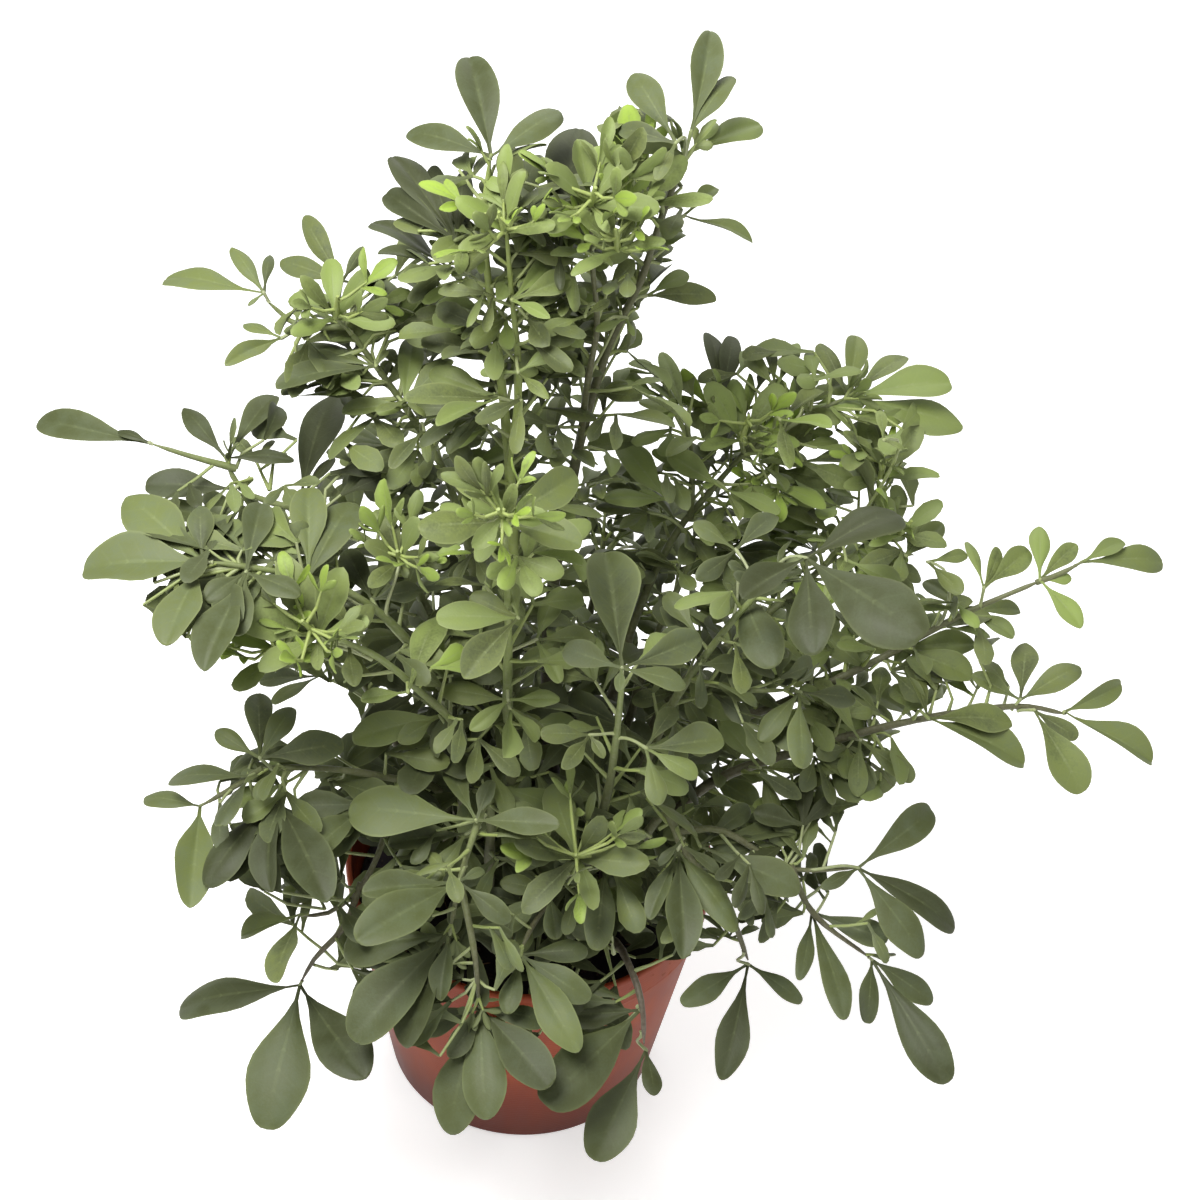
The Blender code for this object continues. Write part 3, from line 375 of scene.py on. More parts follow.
def append(vertices, faces, solid):
    """Adds another solid's places and faces to these."""
    first = len(vertices)
    vertices += solid[0]
    faces += [tuple(first + corner for corner in face) for face in solid[1]]


def draw_on(piece, name, vectors):
    """Lets a piece carry three numbers at each of its points, for its finish."""
    drawn = piece.data.attributes.new(name, "FLOAT_VECTOR", "POINT")
    drawn.data.foreach_set("vector", [part for vector in vectors for part in vector])


peat = Finish("moist_peat", Roughness=0.96, IOR=1.35)
dryness, fibre, spare = peat.drawn("crumb_look")
clods = peat.place.cloud(260.0, 5.0, 0.65)
grit = peat.place.cloud(1500.0, 3.0)
dry = (clods * 0.55 + grit * 0.25 + dryness * 0.5).rise(0.42, 0.92)
peat.feed(Base_Color=fibre.blend(dry.blend(PEAT_WET, PEAT_DRY), FIBRE_BROWN))
peat.relief(clods * 0.6 + grit * 0.4, 0.7, 0.0006)

section = [
    (0.0, SOIL_BOTTOM), (wall_radius(SOIL_BOTTOM) - POT_WALL - SOIL_GAP, SOIL_BOTTOM),
    (SOIL_REACH, SOIL_SHOULDER)]
section += [(SOIL_REACH * (1.0 - ring / SOIL_RINGS), SOIL_EDGE)
            for ring in range(SOIL_RINGS + 1)]
vertices, faces = lathe(section, SOIL_SIDES)
for place in vertices:
    if place.z >= SOIL_EDGE:
        place.z = soil_height(place)
crumb_looks = [(0.0, 0.0, 0.0)] * len(vertices)
draw = random.Random(CRUMB_SEED)
for index in range(CRUMBS + FIBRES):
    place = spoke(draw.uniform(0.0, math.tau))
    place *= SOIL_REACH * math.sqrt(draw.uniform(0.0, CRUMB_SPREAD))
    place.z = soil_height(place)
    if index < CRUMBS:
        size = CRUMB_SIZE + CRUMB_LARGER * draw.random() ** 2
        lump = crumb(place, CRUMB_FORM * size, draw)
        look = (draw.random(), 0.0, 0.0)
    else:
        place += UP * FIBRE_LIFT
        lump = crumb(place, Vector((draw.uniform(*FIBRE_LONG), *FIBRE_THICK)), draw)
        look = (draw.random(), draw.uniform(*FIBRE_PALE), 0.0)
    append(vertices, faces, lump)
    crumb_looks += [look] * len(lump[0])
compost = add_piece("potting_compost", vertices, faces, peat)
draw_on(compost, "crumb_look", crumb_looks)
stands_for(compost, "soil")

# The stems: each rises from its own foot in the compost and bends out to the light.
# A rue stem is smooth and round, woody brown at its foot and green toward its tip.
# A small swelling marks every place where a leaf leaves it.
STEM_DEPTH = 0.016
STEM_COLLAR = 0.006
STEM_TIP_RADIUS = 0.0011
TWIG_RADIUS = 0.0010
TWIG_TIP_RADIUS = 0.0008
STEM_BENDS = 0.027, 6
TWIG_BENDS = 0.016, 6
FINE_BENDS = 0.0045, 14
STEM_SIDES = 9
STALK_SIDES = 5
LEAVE_BACK = 0.45
JOINT_SWELL = 0.17
JOINT_REACH = 0.0021
RIPPLES = 210.0
SLIM_TIP = 0.35
BLUNT_TIP = 0.35
GREEN_FROM = 0.14
FOOT_WOOD = 1.05
LEAF, BARK = 0, 1
STEM_FRESH = 138, 152, 76
STEM_GREEN = 104, 116, 62
STEM_OLIVE = 80, 82, 48
STEM_BROWN = 62, 46, 40
STEM_DUST = 176, 178, 150

# The place that the photograph was taken from, in the same frame as the solids
EYE = Vector((0.0, -0.551, 0.660))
AIM = Vector((0.0168, 0.0, 0.1986))
ROLL = math.radians(4.0)
FOCAL_PIXELS = 2420.0
FRAME_PIXELS = 1200
MIDDLE_PIXEL = FRAME_PIXELS / 2
LOOK = (AIM - EYE).normalized()
LEVEL = LOOK.cross(UP).normalized()
RIGHT = math.cos(ROLL) * LEVEL + math.sin(ROLL) * LEVEL.cross(LOOK)
ABOVE = RIGHT.cross(LOOK)


def sight(across, down):
    """The way from the eye through a point of the picture."""
    ray = LOOK + RIGHT * (across - MIDDLE_PIXEL) / FOCAL_PIXELS
    return ray + ABOVE * (MIDDLE_PIXEL - down) / FOCAL_PIXELS


def seen(across, down, depth):
    """The place on that line of sight whose world Y is depth, in millimetres."""
    ray = sight(across, down)
    return EYE + ray * (depth / 1000 - EYE.y) / ray.y


def runs(points):
    """The way through each point, from the one before it to the one after."""
    last = len(points) - 1
    return [(points[min(index + 1, last)] - points[max(index - 1, 0)]).normalized()
            for index in range(last + 1)]


def smooth(points, bends):
    """Evenly spaced places on a smooth curve through the points."""
    spacing, steps = bends
    ways = runs(points)
    fine = [points[0]]
    for index, (start, end) in enumerate(zip(points, points[1:])):
        pull = (end - start).length
        for step in range(1, steps + 1):
            t = step / steps
            near = (1 - t) ** 2 * ((1 + 2 * t) * start + t * pull * ways[index])
            far = t ** 2 * ((3 - 2 * t) * end - (1 - t) * pull * ways[index + 1])
            fine.append(near + far)
    passed = [0.0]
    for start, end in zip(fine, fine[1:]):
        passed.append(passed[-1] + (end - start).length)
    count = max(round(passed[-1] / spacing), 2)
    places = []
    for step in range(count):
        goal = passed[-1] * step / count
        index = max(i for i, length in enumerate(passed) if length <= goal)
        share = (goal - passed[index]) / (passed[index + 1] - passed[index])
        places.append(fine[index].lerp(fine[index + 1], share))
    return places + [points[-1]]


def tube(points, radii, sides):
    """A closed tube round the points, with flat ends."""
    vertices = []
    heading = (points[1] - points[0]).normalized()
    across = heading.orthogonal().normalized()
    for point, radius, way in zip(points, radii, runs(points)):
        across = heading.rotation_difference(way) @ across
        heading = way
        other = heading.cross(across)
        for side in range(sides):
            angle = math.tau * side / sides
            vertices.append(
                point + (across * math.cos(angle) + other * math.sin(angle)) * radius)
    last = len(vertices) - sides
    faces = []
    for ring in range(0, last, sides):
        for side in range(sides):
            near, beside = ring + side, ring + (side + 1) % sides
            faces.append((near, beside, beside + sides, near + sides))
    return vertices, faces + [
        tuple(range(sides - 1, -1, -1)), tuple(range(last, last + sides))]


def between(ends, share):
    """The value this share of the way from one end to the other."""
    start, end = ends
    return start + (end - start) * share


class Axis:
    """A stem or twig: the coarse places it was packed with and its fine course."""

    def __init__(self, points, bends, start_radius, end_radius, root=()):
        self.points = [*root, *smooth(points, bends)]
        self.course = [*root, *smooth(points, FINE_BENDS)]
        self.radii = start_radius, end_radius
        self.joints = []
        self.length = sum(
            (b - a).length for a, b in zip(self.points, self.points[1:]))

    def nearest(self, place):
        """How far a place lies from the axis, and how far along it that is."""
        found = []
        passed = 0.0
        for start, end in zip(self.points, self.points[1:]):
            run = end - start
            share = clamp((place - start).dot(run) / run.length_squared, 0.0, 1.0)
            distance = (place - start - run * share).length
            found.append((distance, passed + run.length * share))
            passed += run.length
        return min(found)

    def at(self, along):
        """The place this far along the axis, and the axis's way there."""
        left = max(along, 0.0)
        for start, end in zip(self.points, self.points[1:]):
            run = end - start
            if left <= run.length:
                break
            left -= run.length
        return start + run.normalized() * left, run.normalized()

    def leave(self, place):
        """Where a stalk to the place leaves the axis, and the axis's way there."""
        distance, along = self.nearest(place)
        return self.at(along - distance * LEAVE_BACK)

    def radius(self, along):
        """How thick the axis is this far along it."""
        return between(self.radii, min(along / self.length, 1.0))

    def skin(self):
        """The tube that is shown, slimmer at its tip and swollen a little at joints."""
        radii = []
        passed = 0.0
        for index, place in enumerate(self.course):
            passed += (place - self.course[max(index - 1, 0)]).length
            swell = max((math.exp(-((passed - joint) / JOINT_REACH) ** 2)
                         for joint in self.joints), default=0.0)
            ripple = noise.noise(place * RIPPLES) * 0.05
            slim = 1.0 - SLIM_TIP * min(passed / self.length, 1.0) ** 2
            swollen = 1.0 + JOINT_SWELL * swell + ripple
            radii.append(self.radius(passed) * slim * swollen)
        radii[-1] *= BLUNT_TIP
        return tube(self.course, radii, STEM_SIDES)


class Shoot:
    """One leafy stem as it grows, with what its finishes read at every point."""

    def __init__(self, name, age_and_shade, wood, width, foot, radius, course):
        self.name = "shoot_" + name
        self.age_and_shade = age_and_shade
        self.wood = wood
        self.width = width
        self.vertices = []
        self.faces = []
        self.kinds = []
        self.looks = []
        self.spots = []
        self.stalks = []
        bottom, collar = (Vector((foot[0], foot[1], SOIL_TOP + height))
                          for height in (-STEM_DEPTH, STEM_COLLAR))
        self.axes = [Axis(
            [collar] + course, STEM_BENDS, radius, STEM_TIP_RADIUS, [bottom])]

    def nearest_axis(self, place):
        """The stem or twig that passes closest to a place."""
        return min(self.axes, key=lambda axis: axis.nearest(place)[0])

    def twig(self, course):
        """Lets a twig leave the stem near the first of these places."""
        start = self.nearest_axis(course[0]).leave(course[0])[0]
        self.axes.append(Axis(
            [start] + course[1:], TWIG_BENDS, TWIG_RADIUS, TWIG_TIP_RADIUS))

    def add(self, solid, kind, looks, spots):
        """Adds a solid in the finish of this kind, with what the finish reads."""
        append(self.vertices, self.faces, solid)
        self.kinds += [kind] * len(solid[1])
        self.looks += looks
        self.spots += spots

    def add_tube(self, solid, wood, tone):
        """Adds a stem or stalk, each point as woody as wood says of its height."""
        self.add(solid, BARK, [(wood(place.z), tone, 0.0) for place in solid[0]],
                 [(0.0, 0.0, 0.0)] * len(solid[0]))

    def stalk(self, places, radii, wood, tone=0.3, sides=STALK_SIDES):
        """Adds a thin green stalk through these places."""
        self.add_tube(tube(places, radii, sides), lambda height: wood, tone)

    def finish(self):
        """Adds the stems and gives the piece to the solid that it stands for."""
        for axis in self.axes:
            self.add_tube(axis.skin(), lambda height: between(
                (FOOT_WOOD, self.wood),
                clamp((height - SOIL_TOP) / GREEN_FROM, 0.0, 1.0)), 0.2)
        piece = add_piece(self.name + "_grown", self.vertices, self.faces, leaf, bark)
        piece.data.polygons.foreach_set("material_index", self.kinds)
        draw_on(piece, "growth_look", self.looks)
        draw_on(piece, "growth_spot", self.spots)
        piece.data.set_sharp_from_angle(angle=math.radians(78.0))
        stands_for(piece, self.name)


bark = Finish("stem_bark", Roughness=0.52, IOR=1.42)
woodiness, tone, spare = bark.drawn("growth_look")
streaked = bark.place.cloud(900.0, 3.0)
blotched = bark.place.cloud(120.0, 3.0)
aged = woodiness + (blotched - 0.5) * 0.30 + (streaked - 0.5) * 0.16
skin = aged.ramp(
    (0.0, STEM_FRESH), (0.35, STEM_GREEN), (0.68, STEM_OLIVE), (1.0, STEM_BROWN))
dusty = (tone * 0.5 + 0.5 * streaked).rise(0.15, 1.3)
bark.feed(Base_Color=dusty.blend(skin, STEM_DUST), Roughness=0.42 + 0.28 * streaked)
bark.relief(streaked * 0.7 + blotched * 0.3, 0.35, 0.0003)

# The leaves: each is a fan of thin blades on a slender stalk that clasps its stem.
# A blade is spoon-shaped, creased along its midrib, with faint veins and a pale edge.
# Old ones wear a grey bloom of wax that rubs off; young ones are a fresh yellow-green.
# Painted shade darkens blades toward their base and midrib, and leaves that hang low or
# stand inside the bush.
PETIOLE_RADIUS = 0.00048
PETIOLE_FOOT = 0.00085
PETIOLE_SIDES = 6
PETIOLE_RINGS = 9
PETIOLE_PULL = 0.30
PETIOLE_ROOM = math.radians(36.0)
SHORT_PETIOLE = 0.009
HEEL_RADIUS = 0.0027
HUB_LAP = 0.0007
HUB_RADII = [0.0006, 0.000336]
BLADE_HALF_THICK = 0.00026
BLADE_NECK = 0.0005
BLADE_ARCH = 0.04
BLADE_ROLL = math.radians(24.0)
BLADE_FOLD = 2.0, 30.0
BLADE_CUP = -0.10, 0.28
BLADE_TWIST = math.radians(14.0)
BLADE_SWAY = 0.05
BLADE_DROOP = -0.01, 0.07
BLADE_WAVE = 0.02, 0.10
BLADE_BLUNT = 0.36, 0.54
BLADE_TAPER = 1.15
BLADE_WAVES = 7.5
BLADE_RUFFLES = 8.5
BLADE_EDGE_THIN = 0.6
BLADE_FLAT_AT = 0.6
FINE_BLADE = (-1.0, -0.58, -0.22, 0.0, 0.22, 0.58, 1.0), 14, (1.45, 2.05)
SHORTEST_FINE = 0.006
LONGEST_FINE = 0.048
MOST_SLANT = 1.3
FLOOR_MARGIN = 0.004
LEAF_UNREST = 0.26
HANG_BELOW = 0.26
LEAN_OUT = 0.12
LEAN_OUT_MORE = 0.55
TURN_TO_EYE = 0.65
# Painted shade: leaves below this height are set older, so darker, the lower they hang.
SHADE_FROM_HEIGHT = 0.115
SHADED_BELOW = 5.5
OLDER_OVER = 0.024
OLDER_BY_LENGTH = 6.5
LEAF_TO_LEAF = 0.10
BLADE_TO_BLADE = 0.09
BLADE_BREADTH = 0.84, 1.14
STALK_TONE = 0.3, 1.0
OLD_STALK = 0.28
# The darkest green is both the oldest leaves' own colour and the painted shade on
# blades.
LEAF_DARK = 53, 57, 28
LEAF_GREY = 77, 83, 45
LEAF_MID = 101, 109, 56
LEAF_FRESH = 118, 132, 72
LEAF_YOUNG = 136, 160, 60
LEAF_UNDER = 104, 111, 76
LEAF_MARGIN = 146, 156, 96
LEAF_RIB = 126, 136, 92
LEAF_BLOOM = 88, 98, 79
LEAF_COOL = 88, 105, 84


def square_to(way, side):
    """The side of something that runs this way, made square to it."""
    return (side - way * side.dot(way)).normalized()


def outward(place):
    """The level way from the middle of the pot to a place."""
    return Vector((place.x, place.y, 0.0)).normalized()


def either_way(draw, most):
    """A random number up to the most, over or under zero."""
    return draw.uniform(-most, most)


def unrest(draw, most):
    """A small random way, for what doesn't stand quite straight."""
    return Vector([either_way(draw, most) for axis in range(3)])


def root_of(hub, facing, start, ends):
    """Which way a stalk leaves its leaf: toward the stem, but between leaflets."""
    root = square_to(facing, start - hub)
    turns = [math.atan2((end - hub).dot(facing.cross(root)), (end - hub).dot(root))
             % math.tau for end in ends]
    low = max(turns) - math.tau + PETIOLE_ROOM
    high = min(turns) - PETIOLE_ROOM
    turn = clamp(0.0, low, high) if low < high else (low + high) / 2
    return Quaternion(facing, turn) @ root


def blade(shoot, base, way, length, half, up, age_and_shade, draw, detail):
    """Adds a leaflet: a thin closed spoon with a crease, a cup, a twist and a wave."""
    columns, rows, peaks = detail
    peak = draw.uniform(*peaks)
    fold = math.tan(math.radians(draw.uniform(*BLADE_FOLD)))
    cup = draw.uniform(*BLADE_CUP)
    twist = either_way(draw, BLADE_TWIST)
    sway = either_way(draw, BLADE_SWAY)
    droop = draw.uniform(*BLADE_DROOP)
    wave = draw.uniform(0.0, math.tau)
    wave_size = draw.uniform(*BLADE_WAVE)
    blunt = draw.uniform(*BLADE_BLUNT)
    tone = either_way(draw, 1.0)
    side = up.cross(way)
    vertices = []
    looks = []
    spots = []

    def put(place, under, *spot):
        """Adds a point: where it is, and whether it is on the underside."""
        vertices.append(place)
        looks.append((age_and_shade, tone, under))
        spots.append((*spot, length))
        return len(vertices) - 1

    sheet = []
    for row in range(rows):
        t = math.sin(math.pi / 2 * row / rows)
        bulge = math.sin(math.pi * t ** peak)
        wide = half * bulge ** (BLADE_TAPER - (BLADE_TAPER - blunt) * t)
        wide = max(wide, BLADE_NECK * (1 - t))
        turned = Quaternion(way, twist * (t - BLADE_FLAT_AT))
        here_side = turned @ side
        here_up = turned @ up
        middle = (base + way * t * length + here_side * (sway * length * t * (1 - t))
                  + here_up * (length * (BLADE_ARCH * bulge - droop * t ** 3)))
        sheet.append([])
        for u in columns:
            bow = abs(u) * fold - u * u * cup * (0.5 + abs(u))
            bow += u * abs(u) * wave_size * math.sin(BLADE_WAVES * t + wave)
            ripple = math.sin(BLADE_RUFFLES * t + wave * (1.5 + u * 0.7))
            broader = 1.0 + (0.02 + wave_size * 0.7) * ripple
            place = middle + (here_side * u * broader + here_up * bow) * wide
            if row == 0 or abs(u) == 1.0:
                sheet[-1].append([put(place, 0.5, u, t)] * 2)
            else:
                thick = here_up * BLADE_HALF_THICK * (1.0 - BLADE_EDGE_THIN * u * u)
                sheet[-1].append(
                    [put(place + thick, 0.0, u, t), put(place - thick, 1.0, u, t)])
    turned = Quaternion(way, twist * (1.0 - BLADE_FLAT_AT)) @ up
    tip = put(base + way * length - turned * (length * droop), 0.5, 0.0, 1.0)
    sheet.append([[tip] * 2] * len(columns))
    faces = []
    for lower, upper in zip(sheet, sheet[1:]):
        for column in range(len(columns) - 1):
            corners = (*lower[column:column + 2], *upper[column:column + 2][::-1])
            for face, turn in ((0, 1), (1, -1)):
                ring = dict.fromkeys(corner[face] for corner in corners)
                faces.append(tuple(ring)[::turn])
    shoot.add((vertices, faces), LEAF, looks, spots)


def light_side(place, draw):
    """The way a leaf turns: up at the top, and outward where the bush hangs."""
    low = clamp((HANG_BELOW - place.z) / HANG_BELOW, 0.0, 1.0)
    lean = outward(place) * (LEAN_OUT + LEAN_OUT_MORE * low)
    return (UP + lean + unrest(draw, LEAF_UNREST)).normalized()


def stalk_wood(oldest, age_and_shade):
    """How woody a leaf's stalk is: less so the younger the leaf."""
    return max(oldest - 0.3 * age_and_shade, 0.0)


def petiole(shoot, start, heading, hub, root, foot, wood, draw):
    """Adds the stalk of a seen leaf, from inside its stem to the leaflets' hub."""
    heel = hub + root * min(HEEL_RADIUS, (hub - start).length / 2)
    pull = (heel - start).length * PETIOLE_PULL
    low = start + heading * pull
    high = heel + root * pull
    places = []
    radii = []
    for step in range(PETIOLE_RINGS):
        t = step / (PETIOLE_RINGS - 1)
        places.append(start * (1 - t) ** 3 + low * (3 * t * (1 - t) ** 2)
                      + high * (3 * t ** 2 * (1 - t)) + heel * t ** 3)
        radii.append(between((PETIOLE_RADIUS, foot), (1 - t) ** 4))
    shoot.stalk(places + [hub, hub - root * HUB_LAP], radii + HUB_RADII,
                wood, draw.uniform(*STALK_TONE), PETIOLE_SIDES)
    return places


def grow_leaf(shoot, hub, facing, ends, age_and_shade, seed, detail=FINE_BLADE):
    """Adds a whole leaf, its blades turned to the light, and returns its stalk."""
    draw = random.Random(seed + 31)
    age_and_shade += either_way(random.Random(seed + 57), LEAF_TO_LEAF)
    age_and_shade -= OLDER_BY_LENGTH * (max((end - hub).length for end in ends) - OLDER_OVER)
    # Painted shade: a leaf low in the bush is set older, so darker, the lower it hangs.
    age_and_shade = max(age_and_shade - SHADED_BELOW * max(SHADE_FROM_HEIGHT - hub.z, 0.0), 0.0)
    axis = shoot.nearest_axis(hub)
    start, heading = axis.leave(hub)
    root = root_of(hub, facing, start, ends)
    if (hub - start).length < SHORT_PETIOLE:
        root = (start - hub).normalized()
        heading = -root
    along = axis.nearest(start)[1]
    axis.joints.append(along)
    places = petiole(
        shoot, start, heading, hub, root, min(PETIOLE_FOOT, axis.radius(along) * 0.8),
        stalk_wood(OLD_STALK, age_and_shade) + shoot.wood * 0.15, draw)
    to_eye = (EYE - hub).normalized()
    lit = facing + to_eye * TURN_TO_EYE
    for end in ends:
        reach = end - hub
        deep = reach.dot(to_eye)
        shown = (reach - to_eye * deep).length
        longest = clamp(shown * MOST_SLANT, SHORTEST_FINE, LONGEST_FINE)
        if reach.length > longest:
            slant = math.sqrt(max(longest ** 2 - shown ** 2, 0.0))
            reach += to_eye * (math.copysign(slant, deep) - deep)
        length = max(reach.length, SHORTEST_FINE)
        way = reach.normalized()
        if (hub + way * length).z < FLOOR_MARGIN:
            length = min(length, (FLOOR_MARGIN - hub.z) / way.z)
        up = Quaternion(way, either_way(draw, BLADE_ROLL)) @ square_to(way, lit)
        half = shoot.width / 2 * shown * draw.uniform(*BLADE_BREADTH)
        blade(shoot, hub, way, length, half, up,
              age_and_shade + either_way(draw, BLADE_TO_BLADE), draw, detail)
    return places


leaf = Finish("rue_leaf_skin", IOR=1.36)
age_and_shade, tone, under = leaf.drawn("growth_look")
across, along, length = leaf.drawn("growth_spot")
off_rib = abs(across)
cells = leaf.place.cloud(1400.0, 2.0)
patches = leaf.place.cloud(170.0, 3.0)
skin = (age_and_shade + tone * 0.09 + (patches - 0.5) * 0.10).ramp(
    (0.0, LEAF_DARK), (0.22, LEAF_GREY), (0.45, LEAF_MID), (0.72, LEAF_FRESH),
    (1.0, LEAF_YOUNG))
old = 0.25 + 0.75 * age_and_shade.rise(-0.1, 0.35)
cool = old * 0.1014 * (1.0 - age_and_shade.rise(0.35, 0.8))
wax = (patches * 0.8 + cells * 0.35).rise(0.42, 0.80) * old * (1.0 - age_and_shade.rise(0.3, 0.9))
# Painted shade darkens each blade toward its base and midrib and on one half as if
# folded, mixed with its own random tone and mottled patches.
painted_shade_and_tone = (tone * -0.42 + (cells - 0.5) * 0.5 + (0.5 - along) * 0.5
          + (0.5 - off_rib) * 0.25 + (patches - 0.5) * 0.9
          + across * tone * 0.12).rise(0.0, 0.9)
fresh = tone.rise(0.2, 1.0) * age_and_shade.rise(0.15, 0.6) * 0.4
veined = 0.5 + 0.5 * age_and_shade.rise(0.0, 0.6)
vein = ((along - off_rib * 0.16) * 44.0).maths("SINE").rise(0.80, 1.0)
vein = vein * (1.0 - off_rib.rise(0.55, 0.9)) * veined * 0.20
rib = (1.0 - off_rib.rise(0.03, 0.13)) * (1.0 - along.rise(0.55, 0.98)) * veined * 0.46
margin = off_rib.rise(0.88, 1.0) * 0.7 + along.rise(0.965, 1.0) * 0.5
for share, tint in (
        (cool, LEAF_COOL), (wax * 0.5, LEAF_BLOOM), (painted_shade_and_tone * 0.8, LEAF_DARK),
        (fresh, LEAF_FRESH),
        ((vein + rib).rise(0.0, 1.2), LEAF_RIB),
        (margin * age_and_shade.rise(-0.3, 1.0) * 0.8, LEAF_MARGIN),
        (under * old * 0.62, LEAF_UNDER)):
    skin = share.blend(skin, tint)
leaf.feed(Base_Color=skin, Roughness=0.46 + 0.20 * patches + 0.10 * under)
glands = leaf.place.node(
    "ShaderNodeTexVoronoi", {}, {"Vector": leaf.place, "Scale": 1500.0})
leaf.relief(
    (1.0 - glands) * 0.25 + cells * 0.25 + (vein + rib) * (0.6 - under), 0.3, 0.00025)

# The tufts: young leaves crowd the growing tips, narrow and bright green.
# A ring of six opens round each tip, with a loose cluster of smaller leaves above it.
# They fill the bush where the picture is thick with leaves, and leave its windows open.
YOUNG_LEAVES = 6
YOUNG_RISE = math.radians(34.0)
YOUNG_RISE_BY_TURNS = math.radians(14.0)
YOUNG_LEAN = Vector((0.0, -0.35, 0.0))
FLATTER = {3: 0.0, 603: 0.5, 1000: 0.5, 1001: 0.0, 1604: 0.0,
           5100: 0.5, 5101: 0.5, 5500: 0.0}
SMALL_BLADE = (-1.0, -0.5, 0.0, 0.5, 1.0), 6, (1.4, 2.0)
YOUNG_BLADE = (-1.0, -0.5, 0.0, 0.5, 1.0), 6, (1.1, 1.5)
YOUNG_TURN = 0.08
YOUNG_LENGTHS = 0.75, 1.05
YOUNGER = 0.42
TUFT_AGES = 0.80, 0.95
RING_OLDER = 0.25
GOLDEN_ANGLE = math.radians(137.5)
TUFT_LEAF_EVERY = 0.0021
TUFT_HEIGHT = 0.45
TUFT_LEAF = 0.0155
TUFT_TURN = 0.9
TUFT_OUT = 0.1, 0.45
TUFT_SPREAD = 0.4, 1.2
TUFT_CLIMB = -0.1, 1.0
TUFT_LIFT = 0.3
TUFT_TO_EYE = 0.4
TUFT_LENGTHS = 0.65, 1.30
TUFT_OLDER = -0.42, 0.14
TUFT_STEM = 0.0010, 0.0009, 0.0005
TUFT_STALK = 0.0006, 0.0005, 0.0005
END_BLADE_AT = 0.34
END_BLADE_HALF = 0.10, 0.16
PAIR_AT = 0.22, 0.40
PAIR_LEAN = math.radians(30.0), math.radians(62.0)
PAIR_LENGTH = 0.38, 0.62
PAIR_HALF = 0.06, 0.12
PAIR_ROLL = 0.9
PAIR_OLDER = -0.14, 0.05
SMALL_STALK_AT = 0.0, 0.2, 0.38
SMALL_STALK = 0.00055, 0.00045, 0.0003
THICK = [
    (470, 150), (560, 140), (600, 120), (650, 90), (690, 130), (690, 220), (655, 300),
    (622, 390), (596, 450), (640, 440), (655, 360), (700, 375), (740, 345), (860, 345),
    (955, 395), (900, 440), (912, 500), (935, 560), (915, 610), (985, 590), (1010, 640),
    (990, 690), (940, 704), (905, 722), (900, 770), (925, 792), (880, 795), (808, 822),
    (832, 870), (800, 920), (765, 950), (720, 900), (690, 960), (640, 940), (600, 970),
    (560, 1040), (500, 1066), (440, 1066), (380, 1040), (345, 1000), (330, 930),
    (360, 890), (300, 905), (240, 900), (205, 860), (215, 780), (260, 735), (310, 740),
    (385, 716), (400, 698), (330, 690), (290, 680), (262, 636), (205, 668), (160, 620),
    (118, 590), (130, 505), (190, 500), (232, 468), (205, 425), (255, 395), (292, 385),
    (268, 338), (274, 298), (385, 296), (392, 240), (392, 180)]
WINDOWS = [
    (548, 415, 26), (470, 372, 20), (533, 660, 17), (618, 415, 20), (430, 322, 12),
    (395, 522, 12), (800, 495, 9), (590, 160, 8), (350, 372, 8), (560, 350, 8),
    (288, 420, 18), (258, 475, 15), (284, 477, 15), (366, 866, 24), (546, 786, 14),
    (604, 948, 18), (640, 952, 14), (838, 452, 10), (690, 600, 10), (368, 522, 18),
    (735, 740, 9), (785, 730, 9), (548, 470, 10), (336, 586, 9), (645, 420, 20)]


def picture_place(place):
    """Where in the picture a place is seen."""
    ray = place - EYE
    scale = FOCAL_PIXELS / ray.dot(LOOK)
    return MIDDLE_PIXEL + ray.dot(RIGHT) * scale, MIDDLE_PIXEL - ray.dot(ABOVE) * scale


def in_thick(point):
    """Whether the picture shows the bush thick with leaves at a point."""
    across, down = point
    if any(math.dist(point, (x, y)) < reach for x, y, reach in WINDOWS):
        return False
    crossed = 0
    for (x1, y1), (x2, y2) in zip(THICK, THICK[1:] + THICK[:1]):
        if (y1 > down) != (y2 > down):
            crossed += across < x1 + (x2 - x1) * (down - y1) / (y2 - y1)
    return crossed % 2 == 1


def small_leaf(shoot, base, way, up, length, age_and_shade, draw):
    """Adds a small leaf with an end blade and a pair of smaller ones below it."""
    blade(shoot, base + way * length * END_BLADE_AT, way, length * (1 - END_BLADE_AT),
          length * draw.uniform(*END_BLADE_HALF), up, age_and_shade, draw, YOUNG_BLADE)
    for hand in (-1, 1):
        turned = Quaternion(up, -hand * draw.uniform(*PAIR_LEAN)) @ way
        start = base + way * length * draw.uniform(*PAIR_AT)
        blade(shoot, start, turned, length * draw.uniform(*PAIR_LENGTH),
              length * draw.uniform(*PAIR_HALF),
              Quaternion(turned, either_way(draw, PAIR_ROLL)) @ up,
              age_and_shade + draw.uniform(*PAIR_OLDER), draw, YOUNG_BLADE)
    shoot.stalk([base + way * length * share for share in SMALL_STALK_AT],
                SMALL_STALK, 0.04)


